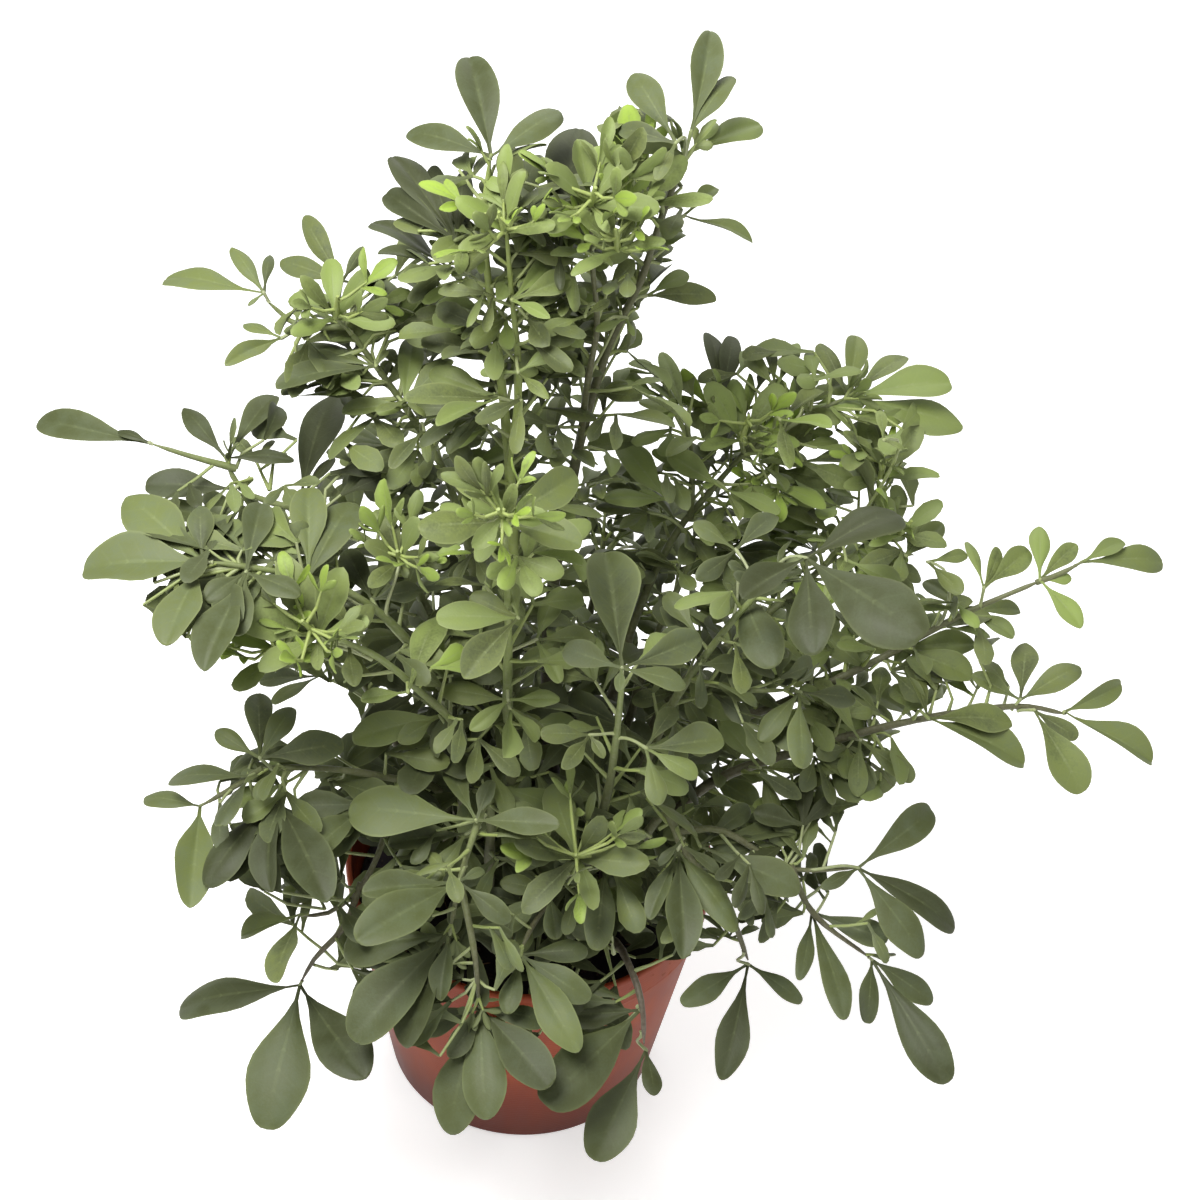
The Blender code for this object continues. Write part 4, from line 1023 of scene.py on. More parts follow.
def tuft(shoot, across, down, depth, size, seed):
    """Grows a ring of young leaves and the loose cluster of small ones above it."""
    age_and_shade = clamp(shoot.age_and_shade + YOUNGER, *TUFT_AGES)
    draw = random.Random(seed)
    hub = seen(across, down, depth)
    facing = (light_side(hub, draw) + YOUNG_LEAN).normalized()
    first = facing.orthogonal().normalized()
    ends = []
    for index in range(YOUNG_LEAVES):
        turn = math.tau * (index + either_way(draw, YOUNG_TURN)) / YOUNG_LEAVES
        rise = YOUNG_RISE + YOUNG_RISE_BY_TURNS * FLATTER.get(seed, 1.0) * (-1) ** index
        out = Quaternion(facing, turn) @ first
        way = out * math.cos(rise) + facing * math.sin(rise)
        ends.append(hub + way * size * draw.uniform(*YOUNG_LENGTHS))
    grow_leaf(shoot, hub, facing, ends, age_and_shade - RING_OLDER, seed, SMALL_BLADE)
    draw = random.Random(seed + 77)
    top = hub + facing * size * TUFT_HEIGHT
    shoot.stalk([hub, hub.lerp(top, 0.5), top], TUFT_STEM, 0.0, sides=6)
    for index in range(round(size / TUFT_LEAF_EVERY)):
        turn = index * GOLDEN_ANGLE + either_way(draw, TUFT_TURN)
        out = Quaternion(facing, turn) @ first
        rise = draw.random()
        base = out * draw.uniform(*TUFT_OUT) + facing * rise * TUFT_HEIGHT
        base = hub + base * size
        way = out * draw.uniform(*TUFT_SPREAD) + facing * draw.uniform(*TUFT_CLIMB)
        way = (way + UP * TUFT_LIFT).normalized()
        if in_thick(picture_place(base + way * TUFT_LEAF)):
            flat = square_to(way, facing + (EYE - hub).normalized() * TUFT_TO_EYE)
            start = hub.lerp(top, rise * 0.8)
            shoot.stalk([start, start.lerp(base, 0.5), base], TUFT_STALK, 0.0)
            small_leaf(shoot, base, way, Quaternion(way, either_way(draw, 1.0)) @ flat,
                       TUFT_LEAF * draw.uniform(*TUFT_LENGTHS),
                       age_and_shade + draw.uniform(*TUFT_OLDER), draw)

# The shoots that the photograph shows: eighteen crowd the front and sides of the bush.
# Points are of the picture, 1200 by 1200, each with its depth; lengths in millimetres.
# Age runs from 0, old and dark, to 1, young and bright; wood from green to brown.
# The ages also carry painted shade: shoots low or deep in the bush are given lower
# ages, so darker leaves.
SEEDS_A_SHOOT = 100
YOUNG_SEED = 5000
LEAFLET_UNREST = 0.22
shoots = []


def stem(name, age_and_shade, wood, width, foot, radius, course, twigs=(), tufts=(), leaves=()):
    """Grows a shoot. A leaf is its hub, then the points that its leaflets reach."""
    shoot = Shoot(name, age_and_shade, wood, width, Vector(foot) / 1000, radius / 1000,
                  [seen(*place) for place in course])
    for twig in twigs:
        shoot.twig([seen(*place) for place in twig])
    seed = len(shoots) * SEEDS_A_SHOOT
    for order, (*hub, size) in enumerate(tufts):
        tuft(shoot, *hub, size / 1000, YOUNG_SEED + seed + order)
    for seed, (across, down, depth, *reaches) in enumerate(leaves, seed):
        draw = random.Random(seed)
        hub = seen(across, down, depth)
        facing = light_side(hub, draw)
        ends = []
        for tip in reaches:
            lean = unrest(draw, LEAFLET_UNREST * FLATTER.get(seed, 1.0))
            flat = (facing + lean).normalized()
            ray = sight(*tip)
            ends.append(EYE + ray * ((hub - EYE).dot(flat) / ray.dot(flat)))
        places = grow_leaf(shoot, hub, facing, ends, age_and_shade, seed)
        shoot.stalks.append((facing, places, age_and_shade, seed))
    shoots.append(shoot)


stem(
    "tall_left", 0.58, 0.10, 0.36, (-7, 4), 2.6,
    [(514, 640, -4), (510, 480, 0), (498, 350, 0), (484, 235, 0), (490, 158, 2)],
    twigs=[[(512, 470, -6), (519, 380, -8), (511, 290, -8), (506, 225, -6)]],
    tufts=[(505, 232, -10, 17)],
    leaves=[
        (491, 156, 2, (405, 130), (470, 60), (556, 112)),
        (456, 240, -4, (388, 194), (400, 168), (432, 172), (464, 170)),
        (450, 268, 6, (379, 224), (378, 252), (405, 305)),
        (511, 215, 6, (509, 148), (541, 153), (545, 245), (482, 180)),
        (494, 318, 8, (436, 300), (462, 340)),
        (512, 300, -16, (548, 262), (572, 278), (550, 318)),
        (500, 398, -8, (430, 372), (436, 425), (404, 400)),
        (518, 372, -18, (556, 350), (548, 398), (480, 372))])
stem(
    "tall_right", 0.61, 0.72, 0.37, (9, 8), 2.6,
    [(548, 640, 8), (576, 460, 14), (608, 348, 16), (641, 280, 18), (660, 222, 20),
     (687, 152, 22)],
    twigs=[[(574, 452, 6), (588, 380, 2), (597, 325, 0), (592, 262, -2),
            (590, 215, -2)]],
    tufts=[(590, 205, -4, 21), (640, 205, 8, 20), (618, 250, -8, 18)],
    leaves=[
        (691, 132, 22, (709, 38), (732, 76)),
        (692, 151, 28, (762, 121), (717, 122)),
        (676, 143, 6, (655, 180), (618, 128), (634, 76)),
        (684, 216, 24, (716, 188), (754, 240)),
        (646, 296, 24, (688, 272), (716, 297)),
        (626, 318, 4, (596, 330), (634, 336)),
        (560, 250, -4, (577, 142), (540, 190), (532, 232), (560, 290)),
        (585, 316, -10, (540, 334), (560, 296), (610, 300)),
        (597, 392, 10, (628, 382), (642, 398)),
        (552, 448, 16, (562, 392), (536, 402))])
stem(
    "left_high", 0.53, 0.45, 0.36, (-15, 12), 2.1,
    [(478, 600, 2), (448, 480, 8), (420, 430, 12), (385, 378, 16), (345, 325, 18)],
    twigs=[[(345, 326, 18), (300, 326, 20), (266, 300, 22)]],
    tufts=[(336, 318, 14, 20)],
    leaves=[
        (264, 293, 22, (167, 277), (232, 248), (270, 254), (249, 305)),
        (342, 281, 32, (306, 219), (282, 262), (363, 247), (398, 292)),
        (282, 338, 16, (243, 323), (225, 364)),
        (376, 366, 8, (300, 346), (275, 384), (388, 350)),
        (404, 404, 6, (342, 412), (413, 337), (452, 358)),
        (424, 430, 0, (390, 468), (428, 462))])
stem(
    "left_far", 0.20, 0.45, 0.34, (-22, 3), 2,
    [(440, 640, -4), (392, 560, -4), (330, 520, -4), (245, 492, -4), (226, 462, -2)],
    twigs=[[(228, 474, -4), (190, 456, -4), (152, 444, -4)]],
    leaves=[
        (150, 443, -4, (35, 420), (118, 430)),
        (226, 458, -2, (184, 409), (272, 400), (294, 457)),
        (234, 489, -6, (145, 484), (262, 514)),
        (300, 498, 2, (324, 420), (334, 458)),
        (356, 532, 4, (352, 470), (400, 505))])
stem(
    "left_mid", 0.28, 0.40, 0.49, (-22, -8), 2.1,
    [(446, 700, -26), (400, 632, -34), (345, 590, -38), (285, 573, -42),
     (210, 562, -46)],
    tufts=[(400, 560, -28, 16)],
    leaves=[
        (203, 562, -46, (82, 568), (126, 497), (201, 506), (165, 646)),
        (246, 572, -48, (262, 502), (206, 600), (204, 670), (238, 636), (300, 596)),
        (308, 577, -44, (308, 488), (352, 500)),
        (372, 600, -30, (345, 548), (402, 545), (420, 590))])
stem(
    "left_low", 0.64, 0.35, 0.44, (-21, -19), 2,
    [(455, 730, -42), (418, 690, -50), (376, 656, -56), (330, 636, -60)],
    tufts=[(318, 636, -54, 24), (280, 652, -48, 18)],
    leaves=[
        (349, 646, -54, (355, 687), (372, 604)),
        (408, 692, -58, (361, 699), (438, 612)),
        (440, 716, -38, (352, 738), (398, 742), (470, 668))])
stem(
    "left_droop", 0.34, 0.35, 0.43, (-27, -9), 2,
    [(440, 792, -34), (380, 776, -42), (320, 768, -46), (262, 768, -48)],
    twigs=[[(262, 770, -48), (232, 788, -48), (203, 805, -48)],
           [(380, 806, -44), (366, 880, -56), (330, 912, -60), (300, 916, -60)],
           [(366, 890, -56), (345, 925, -64), (315, 958, -68), (301, 982, -70)]],
    leaves=[
        (260, 758, -50, (215, 730), (258, 693), (293, 706), (344, 744)),
        (250, 776, -50, (168, 778), (218, 825)),
        (200, 806, -44, (143, 796), (190, 908)),
        (276, 796, -52, (205, 886), (268, 890), (328, 904)),
        (300, 915, -62, (240, 936), (274, 980)),
        (300, 985, -70, (176, 1006), (265, 1127), (368, 1082)),
        (330, 780, -40, (392, 730), (345, 838), (392, 800))])
stem(
    "front_left", 0.30, 0.10, 0.39, (-13, -27), 2.1,
    [(490, 790, -52), (478, 822, -60), (462, 872, -68), (450, 930, -76)],
    twigs=[[(458, 890, -72), (474, 950, -84), (479, 1002, -86)]],
    leaves=[
        (476, 820, -62, (348, 808), (449, 766), (560, 826), (492, 780)),
        (466, 834, -54, (388, 843), (431, 882)),
        (458, 882, -74, (362, 893), (358, 938), (510, 922), (484, 870)),
        (450, 934, -78, (344, 950), (352, 1040), (402, 1046), (440, 1000)),
        (480, 1008, -84, (412, 1030), (449, 1057), (447, 1134), (486, 1119),
         (550, 1087), (545, 1022), (466, 985))])
stem(
    "front_low", 0.28, 0.25, 0.41, (3, -31), 1.9,
    [(556, 880, -46), (572, 868, -54)],
    twigs=[[(552, 900, -50), (530, 930, -62), (521, 950, -70)]],
    tufts=[(577, 858, -58, 26)],
    leaves=[
        (521, 955, -72, (506, 1012), (578, 1050), (590, 1000), (588, 950)),
        (606, 866, -48, (596, 950), (645, 842), (644, 902)),
        (548, 890, -52, (498, 930), (556, 940), (500, 882))])
stem(
    "front_right", 0.38, 0.30, 0.46, (13, -26), 2.1,
    [(606, 800, -46), (616, 740, -52), (623, 674, -56)],
    leaves=[
        (622, 668, -58, (606, 552), (563, 648), (619, 692), (686, 686), (703, 636)),
        (646, 748, -58, (724, 741), (698, 776), (660, 804), (676, 706)),
        (590, 735, -56, (563, 768), (604, 758), (541, 734)),
        (600, 800, -36, (560, 790), (640, 806))])
stem(
    "front_top", 0.55, 0.25, 0.44, (-2, -15), 2.4,
    [(508, 720, -34), (508, 620, -44), (504, 528, -52)],
    tufts=[(503, 516, -60, 14)],
    leaves=[
        (500, 522, -44, (418, 528), (456, 476), (480, 470), (576, 474), (581, 546),
         (478, 562)),
        (518, 618, -50, (464, 678), (436, 618), (508, 580), (470, 596)),
        (536, 640, -40, (560, 586), (596, 640), (560, 682)),
        (508, 700, -44, (440, 690), (470, 730), (560, 700))])
stem(
    "right_top", 0.68, 0.50, 0.37, (16, 11), 2.2,
    [(628, 640, 14), (672, 540, 26), (720, 480, 34), (764, 432, 40)],
    twigs=[[(742, 456, 36), (800, 420, 42), (850, 396, 46)],
           [(690, 516, 30), (692, 456, 30), (684, 416, 28)]],
    tufts=[(742, 440, 34, 22), (772, 470, 44, 21)],
    leaves=[
        (683, 412, 28, (638, 374), (662, 353), (640, 402)),
        (722, 402, 44, (712, 346), (732, 345)),
        (776, 388, 44, (746, 356), (764, 342), (798, 342)),
        (848, 396, 48, (820, 344), (858, 334), (906, 356), (951, 382), (963, 428)),
        (780, 420, 26, (826, 392), (834, 428), (790, 470)),
        (668, 500, 18, (620, 442), (640, 490), (604, 500)),
        (726, 490, 20, (668, 455), (740, 520), (780, 512))])
stem(
    "right_bright", 0.68, 0.35, 0.40, (24, 6), 2,
    [(668, 700, 10), (760, 620, 22), (830, 560, 30), (876, 500, 36)],
    tufts=[(880, 478, 36, 22), (900, 534, 30, 18)],
    leaves=[
        (884, 440, 8, (880, 410), (904, 448)),
        (906, 556, 26, (942, 524), (922, 512), (866, 548)),
        (846, 560, 8, (902, 588), (826, 600)),
        (760, 606, 20, (700, 590), (724, 640), (782, 640))])
stem(
    "right_far", 0.61, 0.55, 0.40, (27, -2), 2,
    [(680, 748, 0), (790, 700, 6), (877, 660, 12), (963, 614, 18), (1040, 581, 22)],
    twigs=[[(1036, 582, 22), (1060, 574, 24), (1082, 562, 26)]],
    leaves=[
        (1040, 580, 22, (1040, 525), (1076, 545), (1072, 578), (1081, 628)),
        (1082, 562, 30, (1124, 540), (1166, 560)),
        (984, 588, 18, (970, 540), (998, 548), (1029, 550)),
        (968, 612, 26, (1018, 610), (1014, 636), (924, 580)),
        (928, 562, 22, (968, 554), (962, 594)),
        (900, 648, 18, (940, 612), (976, 642), (972, 676)),
        (836, 684, 14, (872, 640), (914, 714), (806, 640))])
stem(
    "right_low", 0.56, 0.55, 0.41, (27, -12), 2,
    [(700, 790, -16), (822, 744, -10), (926, 718, -4), (1020, 706, 2), (1066, 714, 4)],
    leaves=[
        (1020, 700, 2, (1026, 642), (1079, 668), (972, 674)),
        (1064, 712, 4, (1120, 684), (1151, 764)),
        (1034, 710, -2, (1078, 738), (1082, 793)),
        (928, 718, -10, (1014, 720), (1027, 762), (908, 666)),
        (860, 740, -14, (914, 780), (858, 796), (824, 690)),
        (760, 768, -20, (722, 720), (806, 770), (776, 816))])
stem(
    "right_mid", 0.20, 0.35, 0.46, (21, -17), 2.2,
    [(664, 720, -22), (720, 636, -24), (770, 580, -24)],
    twigs=[[(690, 680, -24), (744, 690, -26), (790, 690, -28)]],
    leaves=[
        (806, 558, -24, (898, 510), (922, 634), (814, 655), (742, 600)),
        (736, 550, -14, (696, 580), (694, 522), (776, 514)),
        (738, 580, -10, (726, 612), (774, 668)),
        (800, 692, -30, (800, 768), (856, 700), (760, 740)),
        (700, 664, -30, (664, 604), (742, 664), (700, 708))])
stem(
    "right_droop", 0.20, 0.30, 0.32, (22, -28), 2,
    [(664, 812, -44), (684, 850, -50), (724, 900, -56), (748, 960, -62)],
    twigs=[[(676, 836, -48), (720, 830, -48), (790, 868, -48), (858, 868, -46)],
           [(790, 868, -48), (812, 912, -54), (870, 958, -58)]],
    leaves=[
        (678, 850, -52, (684, 956), (650, 920), (738, 928)),
        (700, 846, -52, (800, 892), (800, 830), (750, 806)),
        (858, 868, -46, (935, 808), (959, 928), (922, 957), (822, 888)),
        (748, 964, -58, (682, 1003), (722, 1079), (803, 1002)),
        (812, 912, -50, (845, 1018), (800, 978), (888, 940)),
        (872, 960, -58, (868, 1022), (948, 1082), (933, 1003))])
stem(
    "front_droop", 0.00, 0.55, 0.44, (12, -36), 1.8,
    [(612, 940, -50), (632, 972, -64), (642, 1006, -74), (644, 1044, -80)],
    leaves=[
        (640, 1010, -74, (560, 1014), (545, 1104)),
        (646, 1050, -76, (594, 1160), (654, 1096))])

# The shoots behind: four more of the same, which the front of the bush hides.
# They stand round the back of the pot and carry their leaves turn by turn.
BACK_SHOOTS = 4
BACK_TURNS = math.radians(28.0), math.radians(166.0)
BACK_FOOT = 0.024, 0.030
BACK_REACH = 0.054, 0.070
BACK_HEIGHT = 0.205, 0.170
BACK_MIDDLE = 0.72, 0.80
BACK_RADIUS = 0.0020
BACK_AGE = 0.34
BACK_WOOD = 0.40
BACK_WIDTH = 0.43
BACK_LEAVES = 5
BACK_LEAVES_FROM = 0.34, 1.0
BACK_NUDGES = {9001: -0.35, 9200: 1.1, 9202: -0.35, 9300: 1.1}
BACK_TURN = 0.2
BACK_PETIOLE = 0.0345, 0.0225
BACK_PETIOLES = 0.8, 1.15
BACK_LEAFLET = 0.0275, 0.0188
BACK_LEAFLETS = 0.85, 1.1
BACK_OUTER_SHORTER = 0.09
BACK_LEAN_OUT = 0.45
BACK_LEAN_UP = 0.35
BACK_SEED = 9000
FAN_STEP = math.radians(41.0)
FAN_STEPS = 0.9, 1.1


def back_leaf(shoot, order, seed):
    """Grows one leaf of a shoot behind, a turn further round and a step higher."""
    draw = random.Random(seed)
    points = shoot.axes[0].points
    share = between(BACK_LEAVES_FROM, order / (BACK_LEAVES - 1))
    start = points[round(share * (len(points) - 1))]
    turn = order * GOLDEN_ANGLE + BACK_NUDGES.get(seed, 0.0)
    out = spoke(turn + either_way(draw, BACK_TURN))
    way = (out + outward(start) * BACK_LEAN_OUT + UP * BACK_LEAN_UP).normalized()
    hub = start + way * between(BACK_PETIOLE, share) * draw.uniform(*BACK_PETIOLES)
    facing = light_side(hub, draw)
    along = square_to(facing, way)
    ends = []
    for place in range(-2, 3):
        turn = place * FAN_STEP * draw.uniform(*FAN_STEPS)
        span = between(BACK_LEAFLET, share) * (1.0 - BACK_OUTER_SHORTER * abs(place))
        span *= draw.uniform(*BACK_LEAFLETS)
        ends.append(hub + Quaternion(facing, turn) @ along * span)
    places = grow_leaf(shoot, hub, facing, ends, BACK_AGE, seed)
    shoot.stalks.append((facing, places, BACK_AGE, seed))


for index in range(BACK_SHOOTS):
    out = spoke(between(BACK_TURNS, index / (BACK_SHOOTS - 1)))
    foot, reach, height = (
        each[index % 2] for each in (BACK_FOOT, BACK_REACH, BACK_HEIGHT))
    middle = out * reach * BACK_MIDDLE[0] + UP * height * BACK_MIDDLE[1]
    shoots.append(Shoot(
        f"back_{index + 1}", BACK_AGE, BACK_WOOD, BACK_WIDTH, out * foot, BACK_RADIUS,
        [middle, out * reach + UP * height]))
    for order in range(BACK_LEAVES):
        back_leaf(shoots[-1], order, BACK_SEED + index * SEEDS_A_SHOOT + order)

# The inner leaves: smaller ones that fill the bush along its stems and leaf stalks.
# They stand in the shade behind the leaves that catch the eye, each on its own stalk.
# The last of them grow wherever the bush hides what is behind it.
INNER_SEED = 20000
INNER_SPACING = 0.0060
INNER_START = 0.030
INNER_TRIES = 3
INNER_TURN = 0.2
INNER_ALONG = 0.5
INNER_LIFT = 0.35
INNER_STALK = 0.020, 0.010
INNER_STALKS = 0.7, 1.2
INNER_SAG = 0.03
INNER_LENGTH = 0.0225, 0.0150
INNER_LENGTHS = 0.85, 1.12
INNER_LONGER = 0.35, 1.6
# Painted shade: inner leaves take only part of their shoot's age, so they come out
# darker.
INNER_SHADED_AGE = 0.75
INNER_YOUNGER = 0.32
INNER_OLDER = -0.22, 0.12
INNER_OLDEST = 0.02
INNER_HALF = 0.42, 0.54
INNER_FAN = ((0.0, 0.0, 1.0), (0.75, 0.0, 0.82), (-0.75, 0.0, 0.82),
             (1.05, 0.30, 0.72), (-1.05, 0.30, 0.72))
INNER_MANNER = 0.75, 0.2, 0.08
INNER_CLEAR = 0.0042
INNER_LOWEST = 0.030
FEWEST_BLADES = 2
BLADE_TURN = 0.15
BLADE_MIDDLE = 0.6
THIN_STALK = 0.0005, 0.00042
THIN_STALK_TONE = 0.2, 0.8
THIN_STALK_WOOD = 0.25
AXIL = 0.6
SIDE_SEED = 40000
SIDE_BLADES = 3, 5
SIDE_SHORTEST = 0.011
SIDE_LENGTH = 0.62
SIDE_LONGEST = 0.015
SIDE_LENGTHS = 0.8, 1.1
SIDE_LEAN = 0.8, 1.1
SIDE_OLDER = 0.1
SIDE_HALF = 0.24
TIP_SEED = 60000
TIP_LEAVES = 3
TIP_FROM = 0.6
TIP_TURN = 0.4
TIP_OUT = 0.7
TIP_LENGTH = 0.012
TIP_LENGTHS = 0.8, 1.2
TIP_OLDER = -0.05, 0.20
GAP_SEED = 31000
GAP_STEP = 0.006
GAP_PIXELS = 11
GAP_REACH = 22.0
GAP_BEHIND = 0.25
GAP_AWAY = 0.004, 0.034
GAP_BLADE = 0.0185
GAP_BLADES = 0.7, 1.1
GAP_HALF = 0.18, 0.24
GAP_FAN = -1.5, -0.75, 0.0, 0.75, 1.5
GAP_TURN = 0.4
GAP_BEND = 0.45
GAP_ALONG = 0.4
GAP_AGE = 0.85
GAP_OLDER = 0.20
GAP_MANNER = 0.8, 0.3, 0.10
LOOK_ROUND = 22.0
LOOKS_ROUND = 12
LOOKS_NEEDED = 9
LOOK_MARGIN = 0.0005
LEAFY_STEMS = ("shoot_front_top", "shoot_front_right", "shoot_left_low",
               "shoot_left_mid", "shoot_left_far", "shoot_right_mid")


def tree_of(bare):
    """The surface of every shoot's leaves, and of the stems that are to stay bare."""
    vertices = []
    faces = []
    for shoot in shoots:
        append(vertices, faces, (shoot.vertices, shoot.faces))
    for shoot in bare:
        for axis in shoot.axes:
            append(vertices, faces, axis.skin())
    return BVHTree.FromPolygons(vertices, faces)


def behind(ray):
    """How far from the eye the first packed leaf or stem lies along a ray, if any."""
    return packed.ray_cast(EYE, ray.normalized())[3]


def in_the_way(place):
    """Whether a place stands before a leaf that is seen, from where it is seen."""
    distance = behind(place - EYE)
    return distance is not None and distance > (place - EYE).length + LOOK_MARGIN


def in_bush(place):
    """Whether a place is seen where the bush is thick, or has leaves all round it."""
    across, down = picture_place(place)
    looks = [spoke(math.tau * index / LOOKS_ROUND) * LOOK_ROUND
             for index in range(LOOKS_ROUND)]
    return in_thick((across, down)) or LOOKS_NEEDED <= sum(
        behind(sight(across + look.x, down + look.y)) is not None for look in looks)


def open_to(start, end):
    """Whether nothing packed lies between two places."""
    run = end - start
    return packed.ray_cast(start, run.normalized(), run.length)[0] is None


def room_for(base, end):
    """Whether a small blade has room, and if so takes it."""
    middle = base.lerp(end, BLADE_MIDDLE)
    cell = tuple(int(round(value / INNER_CLEAR)) for value in middle)
    if (end.z < INNER_LOWEST or not open_to(base, end) or in_the_way(end)
            or in_the_way(middle) or not in_bush(end) or cell in taken):
        return False
    taken.add(cell)
    return True


def add_leaf(shoot, places, foot, facing, blades, halves, age_and_shade, draw, manner):
    """Adds a stalk through these places and its blades, each turned its own way."""
    roll, to_eye, unrest = manner
    shoot.stalk(places, [foot * AXIL, *THIN_STALK],
                stalk_wood(THIN_STALK_WOOD, age_and_shade), draw.uniform(*THIN_STALK_TONE))
    lit = facing + (EYE - places[-1]).normalized() * to_eye
    for base, way, span in blades:
        up = square_to(way, Quaternion(way, either_way(draw, roll)) @ lit)
        blade(shoot, base, way, span, span * draw.uniform(*halves), up,
              age_and_shade + either_way(draw, unrest), draw, SMALL_BLADE)


def longer(shoot):
    """How much longer the inner blades are on a shoot with broad leaves."""
    least, by_width = INNER_LONGER
    return least + by_width * shoot.width


def inner_leaf(shoot, start, way, reach, length, age_and_shade, foot, draw):
    """Grows an inner leaf where two or more of its blades have room."""
    hub = start + way * reach
    if hub.z < INNER_LOWEST or not open_to(start + way * 0.003, hub):
        return False
    facing = light_side(hub, draw)
    along = square_to(facing, way)
    blades = []
    for bend, back, size in INNER_FAN:
        turned = Quaternion(facing, bend + either_way(draw, BLADE_TURN)) @ along
        base = hub - way * reach * back
        span = length * size * draw.uniform(*INNER_LENGTHS)
        if room_for(base + turned * 0.0015, base + turned * span):
            blades.append((base, turned, span))
    if len(blades) < FEWEST_BLADES:
        return False
    halves = [shoot.width * half for half in INNER_HALF]
    places = [start, start + (way * 0.5 - UP * INNER_SAG) * reach, hub]
    add_leaf(shoot, places, foot, facing, blades, halves, age_and_shade, draw, INNER_MANNER)
    return True


def fill(shoot, axis, first, draw):
    """Grows inner leaves round a stem or twig, turn by turn."""
    for step in range(max(int((axis.length - first) / INNER_SPACING), 0)):
        along = first + step * INNER_SPACING
        share = along / axis.length
        start, heading = axis.at(along)
        side = heading.orthogonal().normalized()
        for attempt in range(INNER_TRIES):
            turn = (step + attempt / INNER_TRIES) * GOLDEN_ANGLE
            out = Quaternion(heading, turn + either_way(draw, INNER_TURN)) @ side
            way = (out + heading * INNER_ALONG + UP * INNER_LIFT).normalized()
            length = between(INNER_LENGTH, share) * longer(shoot)
            # Painted shade: an inner leaf is set older, so darker, than its shoot.
            age_and_shade = shoot.age_and_shade * INNER_SHADED_AGE + share ** 2 * INNER_YOUNGER
            age_and_shade = max(age_and_shade + draw.uniform(*INNER_OLDER), INNER_OLDEST)
            reach = between(INNER_STALK, share) * draw.uniform(*INNER_STALKS)
            if inner_leaf(
                    shoot, start, way, reach, length, age_and_shade, axis.radius(along), draw):
                axis.joints.append(along)
                break


def tip_leaves(shoot, axis, draw):
    """Ends a stem or twig in a few small leaves, where nothing is in their way."""
    before, last = axis.course[-2:]
    heading = (last - before).normalized()
    side = heading.orthogonal().normalized()
    for index in range(TIP_LEAVES):
        turn = index * GOLDEN_ANGLE + either_way(draw, TIP_TURN)
        way = (Quaternion(heading, turn) @ side * TIP_OUT + heading).normalized()
        length = TIP_LENGTH * draw.uniform(*TIP_LENGTHS)
        base = before.lerp(last, TIP_FROM)
        end = base + way * length
        if in_bush(end) and not in_the_way(end):
            small_leaf(shoot, base, way, square_to(way, heading), length,
                       shoot.age_and_shade + draw.uniform(*TIP_OLDER), draw)


def side_blades(shoot, facing, places, age_and_shade, seed):
    """Grows pairs of small blades on a seen leaf's stalk where it is long enough."""
    draw = random.Random(SIDE_SEED + seed)
    span = (places[-1] - places[0]).length
    if span < SIDE_SHORTEST:
        return
    for index in SIDE_BLADES:
        base = places[index]
        way = (places[index + 1] - base).normalized()
        flat = square_to(way, facing)
        for hand in (-1, 1):
            turned = Quaternion(flat, hand * draw.uniform(*SIDE_LEAN)) @ way
            length = min(span * SIDE_LENGTH, SIDE_LONGEST)
            length *= draw.uniform(*SIDE_LENGTHS)
            if room_for(base + turned * 0.001, base + turned * length):
                blade(shoot, base, turned, length, length * SIDE_HALF, flat,
                      age_and_shade + either_way(draw, SIDE_OLDER), draw, SMALL_BLADE)


def gap_leaf(shoot, start, heading, hub, foot, draw):
    """Grows a leaf of up to five blades where the picture shows no gap."""
    way = (hub - start).normalized()
    facing = light_side(hub, draw)
    age_and_shade = max(shoot.age_and_shade * GAP_AGE + either_way(draw, GAP_OLDER), 0.0)
    along = square_to(facing, way)
    turn = either_way(draw, GAP_TURN)
    blades = []
    for bend in GAP_FAN:
        turned = Quaternion(facing, bend + turn + either_way(draw, BLADE_TURN)) @ along
        span = GAP_BLADE * longer(shoot) * draw.uniform(*GAP_BLADES)
        end = hub + turned * span
        if in_thick(picture_place(end)) and end.z > INNER_LOWEST and not (
                in_the_way(end) or in_the_way(hub.lerp(end, BLADE_MIDDLE))):
            blades.append((hub, turned, span))
    bent = start + (way + heading * GAP_ALONG) * (hub - start).length * GAP_BEND
    if not blades or in_the_way(bent) or not in_thick(picture_place(bent)):
        return False
    add_leaf(shoot, [start, bent, hub], foot, facing, blades, GAP_HALF, age_and_shade, draw,
             GAP_MANNER)
    return True


def fill_gaps():
    """Grows leaves from the nearest stems where gaps show that the picture hasn't."""
    grown = tree_of(shoots)
    bearers = []
    for shoot in shoots:
        for axis in shoot.axes:
            for step in range(int(axis.length / GAP_STEP)):
                if step * GAP_STEP > INNER_START or axis is not shoot.axes[0]:
                    along = step * GAP_STEP
                    bearers.append((shoot, axis, along, *axis.at(along)))
    gaps = []
    for across in range(0, FRAME_PIXELS, GAP_PIXELS):
        for down in range(0, FRAME_PIXELS, GAP_PIXELS):
            ray = sight(across, down).normalized()
            if in_thick((across, down)) and grown.ray_cast(EYE, ray)[0] is None:
                gaps.append((across, down, ray))
    draw = random.Random(GAP_SEED)
    draw.shuffle(gaps)
    covered = []
    for across, down, ray in gaps:
        if any(math.dist((across, down), each) < GAP_REACH for each in covered):
            continue
        found = []
        for bearer in bearers:
            deep = (bearer[3] - EYE).dot(ray)
            hub = EYE + ray * deep
            away = (hub - bearer[3]).length
            if GAP_AWAY[0] < away < GAP_AWAY[1]:
                found.append((away - deep * GAP_BEHIND, *bearer, hub))
        if found:
            _, shoot, axis, along, start, heading, hub = min(
                found, key=lambda each: each[0])
            if gap_leaf(shoot, start, heading, hub, axis.radius(along), draw):
                axis.joints.append(along)
                covered.append((across, down))


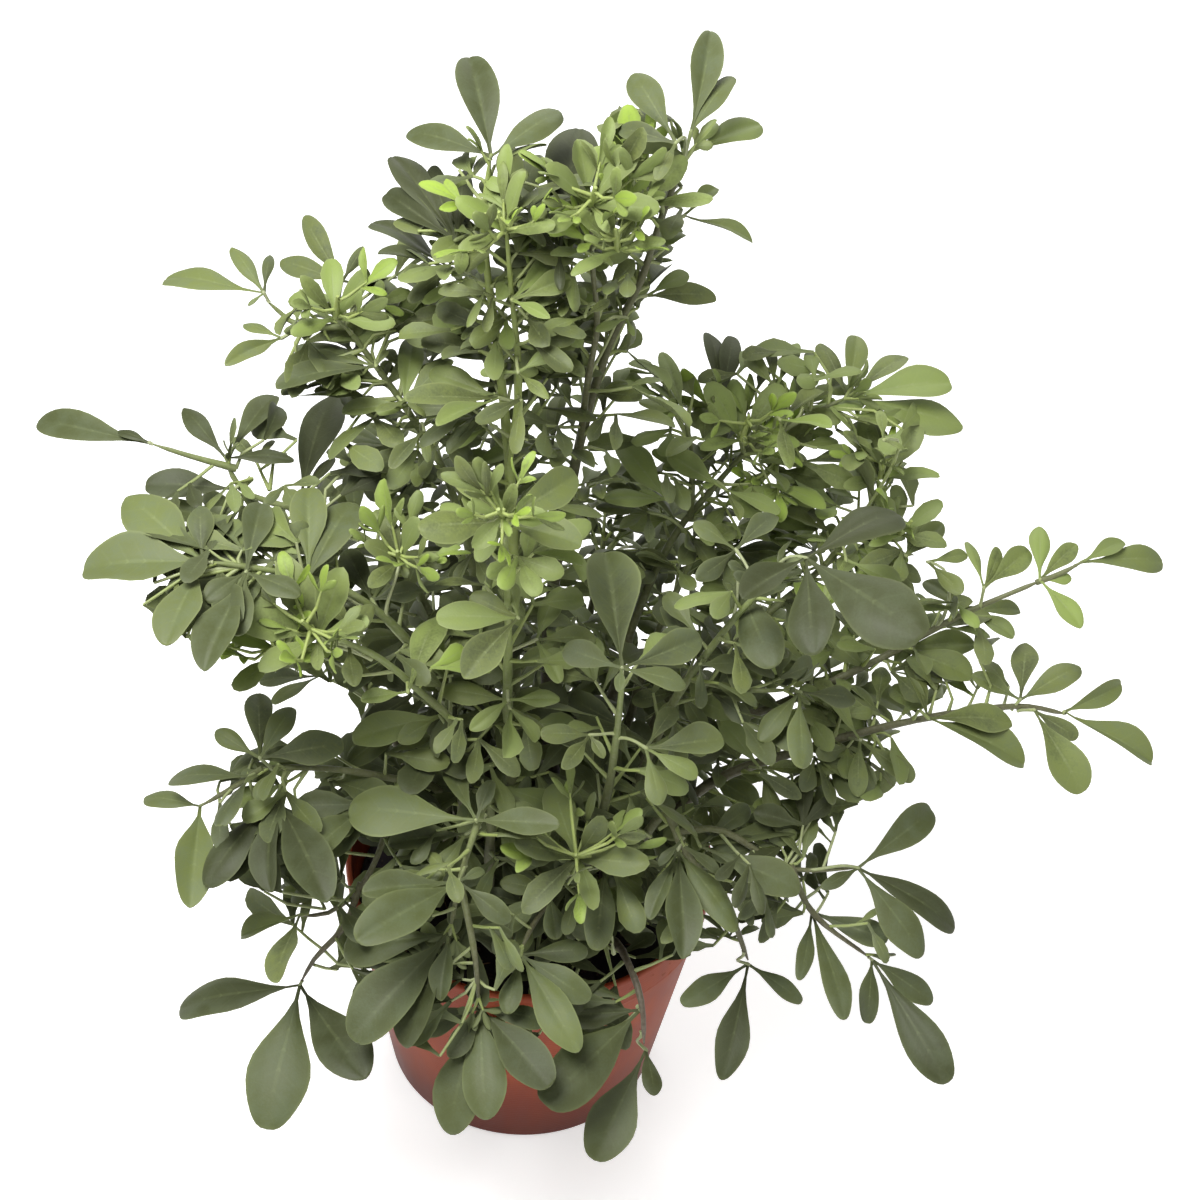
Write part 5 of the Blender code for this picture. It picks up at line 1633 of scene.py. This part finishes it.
packed = tree_of([each for each in shoots if each.name not in LEAFY_STEMS])
taken = set()
for number, shoot in enumerate(shoots):
    for stalk in shoot.stalks:
        side_blades(shoot, *stalk)
    draw = random.Random(INNER_SEED + number)
    for axis in shoot.axes:
        fill(shoot, axis, INNER_START if axis is shoot.axes[0] else INNER_SPACING, draw)
    for index, axis in enumerate(shoot.axes):
        tip_leaves(shoot, axis, random.Random(TIP_SEED + number * 10 + index))
fill_gaps()
for shoot in shoots:
    shoot.finish()

# The studio: a plain pale floor and a wide soft light from the upper left.
# The camera looks a little down on the bush, from the front.
FLOOR_REACH = 6.0
FLOOR_GLOW = 0.50
FLOOR_PALE = 243.44, 243.44, 243.44
FLOOR_GREY = 231.11, 231.11, 231.11
SKY_STRENGTH = 0.29
SENSOR = 36.0


def lamp(name, place, size, watts):
    """A square soft lamp that looks at the middle of the bush."""
    light = bpy.data.lights.new(name, "AREA")
    light.size = size
    light.energy = watts
    item = bpy.data.objects.new(name, light)
    bpy.context.scene.collection.objects.link(item)
    item.location = place
    item.rotation_euler = (AIM - Vector(place)).to_track_quat("-Z", "Y").to_euler()


pale = Finish("pale_floor", Roughness=0.9, IOR=1.2, Emission_Color=(1.0, 1.0, 1.0, 1.0),
              Emission_Strength=FLOOR_GLOW)
pale.feed(Base_Color=pale.place.cloud(3.0, 2.0).rise(0.0, 8.0).blend(
    FLOOR_PALE, FLOOR_GREY))
corners = [Vector((x, y, 0.0)) * FLOOR_REACH
           for x, y in ((-1, -1), (1, -1), (1, 1), (-1, 1))]
add_piece("studio_floor", corners, [(0, 1, 2, 3)], pale)
lamp("key_lamp", (-0.30, -0.26, 1.02), 0.45, 14.5)
lamp("fill_lamp", (0.70, -0.45, 0.95), 0.70, 3.2)
lamp("back_lamp", (0.15, 0.95, 0.80), 0.80, 5.0)
world = bpy.data.worlds.new("studio_sky")
world.use_nodes = True
sky = world.node_tree.nodes["Background"].inputs
sky["Color"].default_value = (1.0, 1.0, 1.0, 1.0)
sky["Strength"].default_value = SKY_STRENGTH
bpy.context.scene.world = world
bpy.context.scene.view_settings.view_transform = "Standard"

view = bpy.data.cameras.new("photograph_view")
view.sensor_width = SENSOR
view.lens = FOCAL_PIXELS / FRAME_PIXELS * SENSOR
camera = bpy.data.objects.new("photograph_view", view)
bpy.context.scene.collection.objects.link(camera)
camera.matrix_world = Matrix.Translation(EYE) @ Matrix(
    (RIGHT, ABOVE, -LOOK)).transposed().to_4x4()
bpy.context.scene.camera = camera
